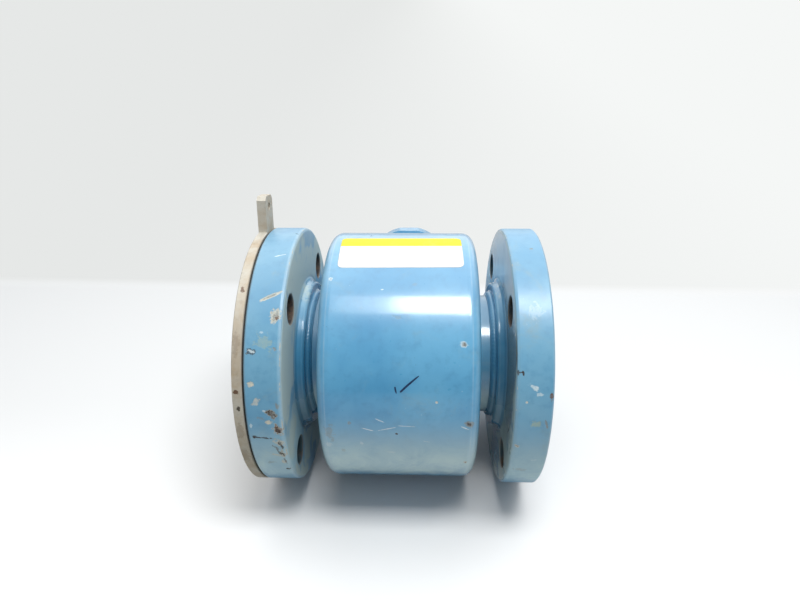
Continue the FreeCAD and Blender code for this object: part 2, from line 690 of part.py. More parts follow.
def terminal_screws():
    top = FLOOR_TOP + BLOCK_T
    screws = []
    for place in terminal_places():
        screw = cylinder(TERMINAL_SCREW_R, top - TERMINAL_SCREW_T, top, HEAD_AXIS, place)
        corner = V(-TERMINAL_SCREW_R, top - TERMINAL_SLOT_DEPTH, -TERMINAL_SLOT_WIDTH / 2) + place
        slot = Part.makeBox(2 * TERMINAL_SCREW_R, TERMINAL_SLOT_DEPTH, TERMINAL_SLOT_WIDTH, corner)
        screws.append(screw.cut(slot))
    return Part.makeCompound(screws)


def earth_screw():
    """Hexagon screw in the floor of the box."""
    place = ELECTRODE_AXIS * EARTH_SCREW_AT
    shank = cylinder(EARTH_SCREW_R / 2, FLOOR_TOP - EARTH_SCREW_REACH, FLOOR_TOP, HEAD_AXIS, place)
    return shank.fuse(hexagon(2 * EARTH_SCREW_R, FLOOR_TOP, FLOOR_TOP + EARTH_SCREW_T,
                              HEAD_AXIS, place))


def lead(points):
    """Round wire of straight runs that meet in mitres."""
    path = Part.makePolygon(points)
    section = Part.Wire(Part.makeCircle(WIRE_R, points[0], points[1] - points[0]))
    return path.makePipeShell([section], True, True, MITRED)


def rise_in_neck(side_x, side_z):
    """The last stretch of a lead: over the edge of the yoke and up the neck to the terminals."""
    neck_x = side_x * WIRE_NECK_X
    neck_z = side_z * WIRE_NECK_Z
    return [
        V(side_x * WIRE_OVER_X, WIRE_OVER_YOKE, neck_z), V(neck_x, WIRE_OVER_YOKE, neck_z),
        V(neck_x, FLOOR_TOP, neck_z),
    ]


def electrode_leads():
    wires = []
    for side_z in (1, -1):
        level = side_z * (STEM_END + WIRE_R)
        wires.append(lead([
            V(0, 0, level), V(WIRE_SIDE_X, 0, level),
            V(WIRE_SIDE_X, WIRE_SIDE_Y, side_z * WIRE_SIDE_Z),
        ] + rise_in_neck(1, side_z)))
    return Part.makeCompound(wires)


def coil_leads():
    near = lead([
        V(-COIL_LEAD_X, COIL_TOP, WIRE_NECK_Z), V(-COIL_LEAD_X, WIRE_OVER_YOKE, WIRE_NECK_Z),
    ] + rise_in_neck(-1, 1)[1:])
    far_level = -COIL_TOP - COIL_LEAD_RISE
    far = lead([
        V(-COIL_LEAD_X, -COIL_TOP, -COIL_LEAD_Z), V(-COIL_LEAD_X, far_level, -COIL_LEAD_Z),
        V(-WIRE_SIDE_X, -WIRE_SIDE_Y, -WIRE_SIDE_Z), V(-WIRE_SIDE_X, 0, -STEM_END),
        V(-WIRE_SIDE_X, WIRE_SIDE_Y, -WIRE_SIDE_Z),
    ] + rise_in_neck(-1, -1))
    return Part.makeCompound([near, far])


def lead_seal():
    """Cast plug that closes the floor of the box round the leads."""
    plug = cylinder(LEAD_HOLE_R, BOX_BOTTOM, FLOOR_TOP, HEAD_AXIS)
    return plug.cut([electrode_leads(), coil_leads()])


# ---- Assembly -----------------------------------------------------------------------------------

def all_pieces():
    """Every piece under the name of its node."""
    return {
        "flow_tube": flow_tube(),
        "liner": liner(),
        "inlet_flange": mirrored(outlet_flange()),
        "outlet_flange": outlet_flange(),
        "ground_ring": ground_ring(),
        "ring_gasket": ring_gasket(),
        "housing_band": housing_band(),
        "housing_end_inlet": mirrored(housing_end_outlet()),
        "housing_end_outlet": housing_end_outlet(),
        "electrode_upper": electrode(),
        "electrode_lower": opposite(electrode()),
        "electrode_bushes": pair(electrode_bush()),
        "electrode_springs": pair(electrode_spring()),
        "electrode_nuts": pair(electrode_nut()),
        "pole_piece_neck_side": pole_piece(),
        "pole_piece_far_side": opposite(pole_piece()),
        "coil_former_neck_side": coil_former(),
        "coil_former_far_side": opposite(coil_former()),
        "coil_neck_side": coil(),
        "coil_far_side": opposite(coil()),
        "return_yoke": return_yoke(),
        "yoke_screws": pair(yoke_screw()),
        "electrode_leads": electrode_leads(),
        "coil_leads": coil_leads(),
        "neck": neck(),
        "neck_gasket": neck_gasket(),
        "neck_screws": neck_screws(),
        "terminal_box": terminal_box(),
        "lead_seal": lead_seal(),
        "terminal_block": terminal_block(),
        "terminal_screws": terminal_screws(),
        "earth_screw": earth_screw(),
        "cover_gasket": cover_gasket(),
        "terminal_cover": terminal_cover(),
        "cover_screws": cover_screws(),
    }


def main():
    os.makedirs("parts", exist_ok=True)
    for name, piece in all_pieces().items():
        piece.rotate(ORIGIN, FLOW_AXIS, -REST_ROLL)
        piece.exportStep("parts/" + name + ".step")


main()
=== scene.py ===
"""Dresses the sensor of an electromagnetic flow meter and sets it up for its portrait.

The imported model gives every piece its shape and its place. This script gives each piece its finish,
adds the thin pieces that lie on the paint, and builds the studio. Lengths are in metres unless a
name says otherwise. X is the flow axis. "Turn" is the angle about that axis, from the front (-Y)
up towards +Z.
"""

import logging
import math
from dataclasses import dataclass
from enum import Enum
from typing import Callable

import bmesh
import bpy
import numpy as np
from mathutils import Matrix, Vector


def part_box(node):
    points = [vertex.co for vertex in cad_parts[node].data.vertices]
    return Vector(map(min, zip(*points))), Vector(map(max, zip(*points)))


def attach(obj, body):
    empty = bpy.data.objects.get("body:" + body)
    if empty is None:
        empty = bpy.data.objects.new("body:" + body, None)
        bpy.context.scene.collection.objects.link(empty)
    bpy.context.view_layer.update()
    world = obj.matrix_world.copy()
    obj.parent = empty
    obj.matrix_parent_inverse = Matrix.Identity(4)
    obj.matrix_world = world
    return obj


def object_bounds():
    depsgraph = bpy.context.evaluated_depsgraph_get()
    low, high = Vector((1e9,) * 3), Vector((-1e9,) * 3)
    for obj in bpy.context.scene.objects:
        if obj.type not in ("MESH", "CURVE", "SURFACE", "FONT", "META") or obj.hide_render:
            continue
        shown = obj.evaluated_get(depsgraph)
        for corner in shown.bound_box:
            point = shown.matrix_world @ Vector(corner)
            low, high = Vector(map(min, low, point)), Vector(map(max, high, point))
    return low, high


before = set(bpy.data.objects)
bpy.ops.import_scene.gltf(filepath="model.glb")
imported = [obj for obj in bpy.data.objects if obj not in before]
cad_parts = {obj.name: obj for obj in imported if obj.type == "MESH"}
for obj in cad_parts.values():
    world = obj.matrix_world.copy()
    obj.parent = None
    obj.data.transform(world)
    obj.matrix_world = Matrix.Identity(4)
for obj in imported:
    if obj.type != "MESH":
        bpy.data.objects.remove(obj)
CAD_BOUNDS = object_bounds()

LOG = logging.getLogger("flow_meter")
MM = 0.001
BODY = "root"

Colour = tuple[float, float, float, float]


def tint(red: int, green: int, blue: int) -> Colour:
    """Linear colour from display values of 0 to 255.

    Args:
        red: red on the display.
        green: green on the display.
        blue: blue on the display.

    Returns:
        The colour as the renderer's sockets take it.
    """
    def linear(value: float) -> float:
        """The display curve undone for one channel."""
        return value / 12.92 if value <= 0.04045 else ((value + 0.055) / 1.055) ** 2.4

    return (linear(red / 255), linear(green / 255), linear(blue / 255), 1.0)


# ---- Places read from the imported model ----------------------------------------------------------

def span(node: str, axis: int) -> tuple[float, float]:
    """Lowest and highest coordinate of a node along one axis."""
    low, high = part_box(node)
    return low[axis], high[axis]


def centre(node: str) -> Vector:
    """Middle of a node's box."""
    low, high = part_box(node)
    return (low + high) / 2


# Thickness of a flange without its raised face, and reach of the weld beyond its hub.
FLANGE_THICKNESS = 23.4 * MM
HUB_WELD_LEG = 3.9 * MM


@dataclass(frozen=True)
class Layout:
    """Main places of the meter, most of them worked out from the frame."""

    rim_radius: float
    housing_radius: float
    housing_half: float
    flange_back: float
    flange_face: float
    hub_end: float
    tube_radius: float
    head_turn: float
    hub_radius: float = 54.0 * MM
    bolt_circle_radius: float = 76.2 * MM
    bolt_hole_radius: float = 9.525 * MM

    @classmethod
    def from_frame(cls) -> "Layout":
        """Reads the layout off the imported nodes.

        Returns:
            The layout.
        """
        head = centre("neck_gasket")
        return cls(
            rim_radius=-span("outlet_flange", 2)[0],
            housing_radius=-span("housing_band", 2)[0],
            housing_half=span("housing_end_outlet", 0)[1],
            flange_back=-span("ring_gasket", 0)[1] - FLANGE_THICKNESS,
            flange_face=-span("ring_gasket", 0)[1],
            hub_end=span("outlet_flange", 0)[0] + HUB_WELD_LEG,
            tube_radius=span("flow_tube", 2)[1],
            head_turn=math.atan2(head.z, -head.y),
        )

    def first_bolt(self) -> float:
        """Turn of the first bolt hole, half a quarter past the head."""
        return self.head_turn + math.pi / 4

    def on_head(self, along: np.ndarray, out: np.ndarray, side: np.ndarray) -> np.ndarray:
        """Points given along the flow, out along the head's axis and to its side."""
        across, up = -math.cos(self.head_turn), math.sin(self.head_turn)
        return np.stack([along, out * across - side * up, out * up + side * across], axis=-1)


PLAN = Layout.from_frame()


# ---- Shader fields ------------------------------------------------------------------------------

class Field:
    """A number at every point of a surface, wired from shader nodes."""

    def __init__(self, graph: "Wiring", socket: bpy.types.NodeSocket) -> None:
        """Wraps an output socket of a node tree."""
        self.graph = graph
        self.socket = socket

    def _apply(self, operation: str, *others: "Field | float") -> "Field":
        """Wires one Math node to this field and the others."""
        return self.graph.arithmetic(operation, self, *others)

    def __add__(self, other: "Field | float") -> "Field":
        """Sum of two fields."""
        return self._apply("ADD", other)

    def __sub__(self, other: "Field | float") -> "Field":
        """Difference of two fields."""
        return self._apply("SUBTRACT", other)

    def __rsub__(self, other: float) -> "Field":
        """A number less this field."""
        return self.graph.arithmetic("SUBTRACT", other, self)

    def __mul__(self, other: "Field | float") -> "Field":
        """Product of two fields."""
        return self._apply("MULTIPLY", other)

    def __truediv__(self, other: "Field | float") -> "Field":
        """Quotient of two fields."""
        return self._apply("DIVIDE", other)

    __radd__ = __add__
    __rmul__ = __mul__

    def absolute(self) -> "Field":
        """Size without sign."""
        return self._apply("ABSOLUTE")

    def cosine(self) -> "Field":
        """Cosine of an angle in radians."""
        return self._apply("COSINE")

    def sine(self) -> "Field":
        """Sine of an angle in radians."""
        return self._apply("SINE")

    def hypotenuse(self, other: "Field") -> "Field":
        """Length of the diagonal over this length and another at a right angle to it."""
        return (self * self + other * other)._apply("SQRT")

    def highest(self, other: "Field | float") -> "Field":
        """The greater of two fields."""
        return self._apply("MAXIMUM", other)

    def lowest(self, other: "Field | float") -> "Field":
        """The lesser of two fields."""
        return self._apply("MINIMUM", other)

    def held(self) -> "Field":
        """The field held between 0 and 1."""
        return self.highest(0.0).lowest(1.0)

    def wrapped(self, low: float, high: float) -> "Field":
        """The field folded into a range, over and over."""
        return self._apply("WRAP", high, low)

    def rise(self, low: float, high: float) -> "Field":
        """Smooth step from 0 at low to 1 at high; it falls where low is above high.

        Args:
            low: value at which the step is 0.
            high: value at which the step is 1.

        Returns:
            The step as a field.
        """
        node = self.graph.add("ShaderNodeMapRange")
        node.interpolation_type = "SMOOTHSTEP"
        falling = low > high
        self.graph.feed(node.inputs["Value"], self)
        node.inputs["From Min"].default_value = min(low, high)
        node.inputs["From Max"].default_value = max(low, high)
        node.inputs["To Min"].default_value = 1.0 if falling else 0.0
        node.inputs["To Max"].default_value = 0.0 if falling else 1.0
        return Field(self.graph, node.outputs["Result"])


class Wiring:
    """A node tree and the means to wire numbers in it."""

    def __init__(self, tree: bpy.types.NodeTree) -> None:
        """Empties the tree."""
        self.tree = tree
        self.tree.nodes.clear()

    def add(self, kind: str) -> bpy.types.Node:
        """Adds a node of one kind."""
        return self.tree.nodes.new(kind)

    def feed(self, socket: bpy.types.NodeSocket, value: "Field | float | Colour | object") -> None:
        """Links a field or an output to a socket, or writes a plain value on it.

        Args:
            socket: input socket.
            value: field, output socket or plain value.
        """
        if isinstance(value, Field):
            self.tree.links.new(value.socket, socket)
        elif isinstance(value, bpy.types.NodeSocket):
            self.tree.links.new(value, socket)
        else:
            socket.default_value = value

    def split(self, vector: bpy.types.NodeSocket) -> tuple[Field, Field, Field]:
        """Takes a vector apart.

        Args:
            vector: output socket that gives the vector.

        Returns:
            Its three coordinates.
        """
        node = self.add("ShaderNodeSeparateXYZ")
        self.tree.links.new(vector, node.inputs["Vector"])
        x, y, z = (Field(self, node.outputs[axis]) for axis in "XYZ")
        return x, y, z

    def arithmetic(self, operation: str, *values: Field | float) -> Field:
        """Wires a Math node.

        Args:
            operation: name of the operation.
            values: its operands.

        Returns:
            The result as a field.
        """
        node = self.add("ShaderNodeMath")
        node.operation = operation
        for index, value in enumerate(values):
            self.feed(node.inputs[index], value)
        return Field(self, node.outputs[0])


    def blend(self, factor: Field, under: bpy.types.Node, over: bpy.types.Node,
              output: bpy.types.Node) -> None:
        """Wires two shaders, one over the other, to an output node.

        Args:
            factor: share of the upper shader.
            under: lower shader.
            over: upper shader.
            output: material or world output.
        """
        node = self.add("ShaderNodeMixShader")
        self.feed(node.inputs[0], factor)
        self.feed(node.inputs[1], under.outputs[0])
        self.feed(node.inputs[2], over.outputs[0])
        self.feed(output.inputs["Surface"], node.outputs[0])


class Graph(Wiring):
    """One material under construction."""

    def __init__(self, name: str) -> None:
        """Makes an empty material with a Principled shader at its output.

        Args:
            name: name of the material.
        """
        self.material = bpy.data.materials.new(name)
        self.material.use_nodes = True
        super().__init__(self.material.node_tree)
        self.output = self.add("ShaderNodeOutputMaterial")
        self.shader = self.add("ShaderNodeBsdfPrincipled")
        self.tree.links.new(self.shader.outputs["BSDF"], self.output.inputs["Surface"])
        self.place = self.add("ShaderNodeTexCoord").outputs["Object"]
        self.x, self.y, self.z = self.split(self.place)

    def radius(self) -> Field:
        """Distance from the flow axis."""
        return self.y.hypotenuse(self.z)

    def turn(self) -> Field:
        """Angle about the flow axis from the front up."""
        return self.arithmetic("ARCTAN2", self.z, self.y * -1.0)

    def height(self) -> Field:
        """Sine of the turn: 1 at the top, -1 at the bottom, alike on the front and the back."""
        return self.z / self.radius()

    def noise(self, scale: float, detail: float = 2.0, roughness: float = 0.5,
              distortion: float = 0.0, stretch: Vector | None = None) -> Field:
        """Cloudy noise around 0.5.

        Args:
            scale: features per metre.
            detail: number of finer layers.
            roughness: weight of the finer layers.
            distortion: how far the layers drag each other.
            stretch: factors on the coordinates, for streaks.

        Returns:
            The noise as a field.
        """
        node = self.add("ShaderNodeTexNoise")
        node.inputs["Scale"].default_value = scale
        node.inputs["Detail"].default_value = detail
        node.inputs["Roughness"].default_value = roughness
        node.inputs["Distortion"].default_value = distortion
        vector = self.place
        if stretch is not None:
            mapping = self.add("ShaderNodeMapping")
            mapping.inputs["Scale"].default_value = stretch
            self.tree.links.new(self.place, mapping.inputs["Vector"])
            vector = mapping.outputs["Vector"]
        self.tree.links.new(vector, node.inputs["Vector"])
        return Field(self, node.outputs["Fac"])

    def cells(self, scale: float) -> Field:
        """Distance to the nearest of many scattered points.

        Args:
            scale: points per metre.

        Returns:
            The distance in cell sizes.
        """
        node = self.add("ShaderNodeTexVoronoi")
        node.inputs["Scale"].default_value = scale
        self.tree.links.new(self.place, node.inputs["Vector"])
        return Field(self, node.outputs["Distance"])

    def mix(self, factor: Field | float, under: object, over: object) -> bpy.types.NodeSocket:
        """Blends two colours.

        Args:
            factor: share of the upper colour.
            under: lower colour or socket.
            over: upper colour or socket.

        Returns:
            Socket of the mixed colour.
        """
        node = self.add("ShaderNodeMix")
        node.data_type = "RGBA"
        self.feed(node.inputs[0], factor)
        self.feed(node.inputs[6], under)
        self.feed(node.inputs[7], over)
        return node.outputs[2]

    def relief(self, *layers: tuple[Field, float], soft: float = 0.0) -> None:
        """Wires bumps to the shader, one on top of the other.

        Args:
            layers: pairs of a height from 0 to 1 and the height in metres that 1 stands for.
            soft: radius in metres to which sharp edges look rounded; none where it is 0.
        """
        below = None
        if soft > 0.0:
            node = self.add("ShaderNodeBevel")
            node.samples = 6
            node.inputs["Radius"].default_value = soft
            below = node.outputs["Normal"]
        for height, depth in layers:
            node = self.add("ShaderNodeBump")
            node.inputs["Distance"].default_value = abs(depth)
            node.invert = depth < 0
            self.feed(node.inputs["Height"], height)
            if below is not None:
                self.tree.links.new(below, node.inputs["Normal"])
            below = node.outputs["Normal"]
        self.tree.links.new(below, self.shader.inputs["Normal"])

    def surface(self, colour: object, roughness: object, metallic: object = 0.0,
                **constants: float) -> bpy.types.Material:
        """Sets the shader's main inputs and hands the material over.

        Args:
            colour: colour or socket.
            roughness: number or field.
            metallic: number or field.
            constants: other inputs by name, with underscores for blanks.

        Returns:
            The finished material.
        """
        self.feed(self.shader.inputs["Base Color"], colour)
        self.feed(self.shader.inputs["Roughness"], roughness)
        self.feed(self.shader.inputs["Metallic"], metallic)
        for name, value in constants.items():
            self.shader.inputs[name.replace("_", " ")].default_value = value
        return self.material


# ---- Wear on the paint --------------------------------------------------------------------------

class Coat(Enum):
    """What shows in a mark on the paint."""

    PRIMER = tint(206, 202, 184)
    RUST = tint(106, 78, 60)
    SCALE = tint(58, 50, 46)
    SCUFF = tint(204, 220, 224)
    GREASE = tint(176, 184, 140)
    GREY = tint(138, 140, 134)


@dataclass(frozen=True)
class Mark:
    """One chip, stain or scratch on a surface that is round about the flow axis.

    Lengths are in millimetres and angles in degrees. A mark is an ellipse with a ragged outline,
    and may have a core of another coat, from a given depth on.
    """

    along: float
    turn: float
    length: float
    width: float
    coat: Coat
    lean: float = 0.0
    ragged: float = 1.2
    cover: float = 1.0
    core: Coat | None = None
    core_from: float = 0.35


# Features per metre of the noise that tears outlines, and how fast a mark covers inwards.
RAGGED_SCALE = 340.0
MARK_CRISPNESS = 3.5


def stamp(graph: Graph, mark: Mark, radius: float, ragged: Field) -> Field:
    """Depth inside one mark: 0 on its outline, 1 at its middle, below 0 outside.

    The surface is unrolled to two lengths, one along the flow and one round it. Both are turned by
    the mark's lean and divided by its half sizes; the depth is 1 less the diagonal over them, plus
    a share of ragged noise.

    Args:
        graph: material that the mark belongs to.
        mark: the mark.
        radius: radius of the surface.
        ragged: noise around 0.5 that tears the outline.

    Returns:
        The depth as a field.
    """
    lean = math.radians(mark.lean)
    out_along = graph.x - mark.along * MM
    out_around = (graph.turn() - math.radians(mark.turn)) * radius
    first = (out_along * math.cos(lean) + out_around * math.sin(lean)) / (mark.length * MM / 2)
    second = (out_around * math.cos(lean) - out_along * math.sin(lean)) / (mark.width * MM / 2)
    return 1.0 - first.hypotenuse(second) + (ragged - 0.5) * mark.ragged * 2.0


@dataclass(frozen=True)
class Edge:
    """A circular edge about the flow axis: how far it is rubbed pale, and how far it is chipped."""

    along: float
    radius: float
    reach: float = 1.6 * MM
    rub: float = 1.0
    chips: float = 1.0


def closeness(graph: Graph, edge: Edge) -> Field:
    """How near a point is to an edge.

    Args:
        graph: material that the edge belongs to.
        edge: the edge.

    Returns:
        1 on the edge, falling to 0 at its reach and beyond.
    """
    along = graph.x - edge.along
    out = graph.radius() - edge.radius
    return (1.0 - along.hypotenuse(out) / edge.reach).highest(0.0)


# ---- Finishes -----------------------------------------------------------------------------------

@dataclass(frozen=True)
class Enamel:
    """Blue enamel over primer: its colours, its gloss and its age.

    The radius is that of the round surface that the marks lie on, if there are any.
    """

    name: str
    radius: float = 0.0
    marks: tuple[Mark, ...] = ()
    edges: tuple[Edge, ...] = ()
    fresh: Colour = tint(74, 148, 192)
    faded: Colour = tint(98, 168, 206)
    mottled: Colour = tint(60, 124, 166)
    # Pale colour painted on the top of the paint as the reflection of the bright room above.
    painted_top_sheen: Colour = tint(206, 216, 216)
    grime: Colour = tint(140, 152, 144)
    # Dust on the lower front, paler than dust alone: it also paints the glow that the white floor
    # throws up.
    dust_and_floor_glow: Colour = tint(194, 222, 224)
    grime_cover: float = 0.30
    dust_and_glow_cover: float = 0.95
    roughness: float = 0.34
    gloss_coat: float = 0.9
    coat_roughness: float = 0.12
    peel_depth: float = 0.035 * MM
    mottle_depth: float = 0.05 * MM
    chip_depth: float = 0.16 * MM
    soft: float = 0.9 * MM

    def material(self) -> bpy.types.Material:
        """Builds the material."""
        return Paintwork(self).finish()


@dataclass(frozen=True)
class FlangeEnamel(Enamel):
    """Enamel of a flange: a clean hub, a back filmed with dust, rust and painted shade in the bolt
    holes, a dark streak of rust and painted shade below one hole, and a painted reflection on a glossy
    face.
    """

    face_dust: Colour = tint(184, 200, 194)
    # Pale colour painted on the top of a glossy face, as its reflection of the bright room.
    painted_face_reflection: Colour = tint(222, 228, 228)
    hub_blue: Colour = tint(36, 104, 138)
    run_and_shade_colour: Colour = tint(66, 62, 52)
    # Colour of the dark streak below a bolt hole: rust and grease, and painted shade.
    mouth_stain: Colour = tint(122, 106, 88)
    wall_scale: Colour = tint(44, 40, 38)
    wall_rust: Colour = tint(88, 68, 52)
    # Blue paint on the hole walls, painted dark as the shade inside the holes.
    wall_blue_in_painted_shade: Colour = tint(34, 72, 84)
    # Gloss of the face; it also sets how much reflection is painted on the top of the face.
    face_gloss_and_painted_sheen: float = 0.0
    run_and_shade_cover: float = 0.0

    def material(self) -> bpy.types.Material:
        """Builds the material."""
        return FlangePaintwork(self).finish()


class Paintwork:
    """Enamel while it is wired up, one layer over the other."""

    def __init__(self, enamel: Enamel) -> None:
        """Starts with the bare coat, faded in clouds.

        Args:
            enamel: the finish to wire up.
        """
        self.enamel = enamel
        self.graph = Graph(enamel.name)
        self.cloud = self.graph.noise(16.0, 3.0, 0.6)
        self.mottle = self.graph.noise(160.0, 4.0, 0.6)
        self.smear = self.graph.noise(42.0, 6.0, 0.72, 0.6)
        self.ragged = self.graph.noise(RAGGED_SCALE, 6.0, 0.7)
        self.dirty = self.smear.rise(0.52, 0.78) * enamel.grime_cover
        self.chipped = self.ragged * 0.0
        self.colour = self.graph.mix(self.cloud.rise(0.3, 0.7), enamel.fresh, enamel.faded)

    def lay(self, cover: Field, colour: object) -> None:
        """Lays a colour over what is there, as far as it covers."""
        self.colour = self.graph.mix(cover, self.colour, colour)

    def layers(self) -> tuple[Callable[[], None], ...]:
        """The steps that age the paint, in order."""
        return self.soil, self.lay_marks, self.wear_edges, self.scatter_specks

    def finish(self) -> bpy.types.Material:
        """Lays every layer, then sets the gloss and the relief.

        Returns:
            The finished material.
        """
        for layer in self.layers():
            layer()
        enamel = self.enamel
        peel = self.graph.noise(380.0, 2.0, 0.4)
        self.graph.relief((peel, enamel.peel_depth), (self.mottle, enamel.mottle_depth),
                          (self.chipped, -enamel.chip_depth), soft=enamel.soft)
        return self.graph.surface(self.colour, self.roughness(), Coat_Weight=enamel.gloss_coat,
                                  Coat_Roughness=enamel.coat_roughness, Specular_IOR_Level=0.5)

    def roughness(self) -> Field:
        """Roughness of the paint, higher where it is mottled or dull."""
        return self.mottle * 0.14 + (self.enamel.roughness - 0.07) + self.dullness()

    def dullness(self) -> Field:
        """What chips and dirt add to the roughness."""
        return (self.chipped * 0.5).highest(self.dirty * 0.35)

    def soil(self) -> None:
        """Mottles the paint, then lays grime, a pale sheen painted on the top as the reflection of the
        bright room, and dust that also paints the floor's glow.
        """
        self.lay(self.mottle.rise(0.45, 0.75) * 0.3, self.enamel.mottled)
        self.lay(self.dirty, self.enamel.grime)
        # Painted highlight: the top is paled, as if it reflected the bright room above.
        top = self.graph.height().rise(0.55, 0.98)
        self.lay(top * (self.cloud * 0.5 + 0.75) * 0.12, self.enamel.painted_top_sheen)
        # Dust on the lower front, with the floor's glow painted into it.
        dust_and_glow = self.dust_and_glow()
        self.lay(dust_and_glow, self.enamel.dust_and_floor_glow)
        self.dirty = self.dirty.highest(dust_and_glow)

    def dust_and_glow(self) -> Field:
        """Cover of the dust on the lower front of the round surfaces, none on the underside; the dust
        is painted paler than it is, so that it also stands for the glow of the white floor on the
        lower front.

        Returns:
            The cover as a field.
        """
        turn = self.graph.turn() + (self.smear - 0.5) * 0.25
        low = turn.rise(math.radians(12.0), math.radians(-17.0))
        under = turn.rise(math.radians(-40.0), math.radians(-25.0))
        return low * under * (self.smear.rise(0.3, 0.7) * 0.45 + 0.6) * self.enamel.dust_and_glow_cover

    def lay_marks(self) -> None:
        """Lays every mark over the paint, in order, where the surface has its full radius."""
        radius = self.enamel.radius
        on_round_side = (self.graph.radius() - radius).absolute().rise(3.0 * MM, 2.4 * MM)
        blotches = self.graph.noise(300.0, 2.0).rise(0.3, 0.6) * 0.4 + 0.6
        shade = self.graph.noise(900.0, 2.0).rise(0.2, 0.6) * blotches * 0.5 + 0.5
        for mark in self.enamel.marks:
            depth = stamp(self.graph, mark, radius, self.ragged)
            cover = (depth * MARK_CRISPNESS).held() * on_round_side * mark.cover
            self.lay(cover * shade, mark.coat.value)
            if mark.core is not None:
                core = ((depth - mark.core_from) * MARK_CRISPNESS).held() * on_round_side
                self.lay(core * shade, mark.core.value)
            if mark.coat is not Coat.SCUFF:
                self.chipped = self.chipped.highest(cover)

    def wear_edges(self) -> None:
        """Rubs the edges pale, and chips them to primer and scale here and there."""
        coarse = self.graph.noise(75.0, 4.0, 0.7)
        patches = self.graph.noise(17.0, 2.0, 0.5).rise(0.50, 0.64)
        for edge in self.enamel.edges:
            near = closeness(self.graph, edge)
            rubbed = near * (coarse.rise(0.3, 0.6) * 0.6 + 0.4) * edge.rub
            self.lay(rubbed * 0.5, Coat.SCUFF.value)
            if edge.chips == 0.0:
                continue
            bare = near * 0.5 + coarse * 0.9 + self.ragged * 0.35 + patches * 0.14 * edge.chips
            primed = bare.rise(1.16, 1.22)
            self.lay(primed * 0.9, Coat.PRIMER.value)
            self.lay(bare.rise(1.27, 1.32), Coat.SCALE.value)
            self.chipped = self.chipped.highest(primed)

    def scatter_specks(self) -> None:
        """Scatters dark specks and pale ones, each kind in its own patches."""
        for coat, cover, per_metre, size, patch_scale, patch_from in (
                (Coat.SCALE, 0.6, 260.0, 0.075, 30.0, 0.54),
                (Coat.SCUFF, 0.5, 190.0, 0.070, 22.0, 0.52)):
            specks = self.graph.cells(per_metre).rise(size, 0.03)
            patches = self.graph.noise(patch_scale, 2.0).rise(patch_from, patch_from + 0.1)
            self.lay(specks * patches * cover, coat.value)


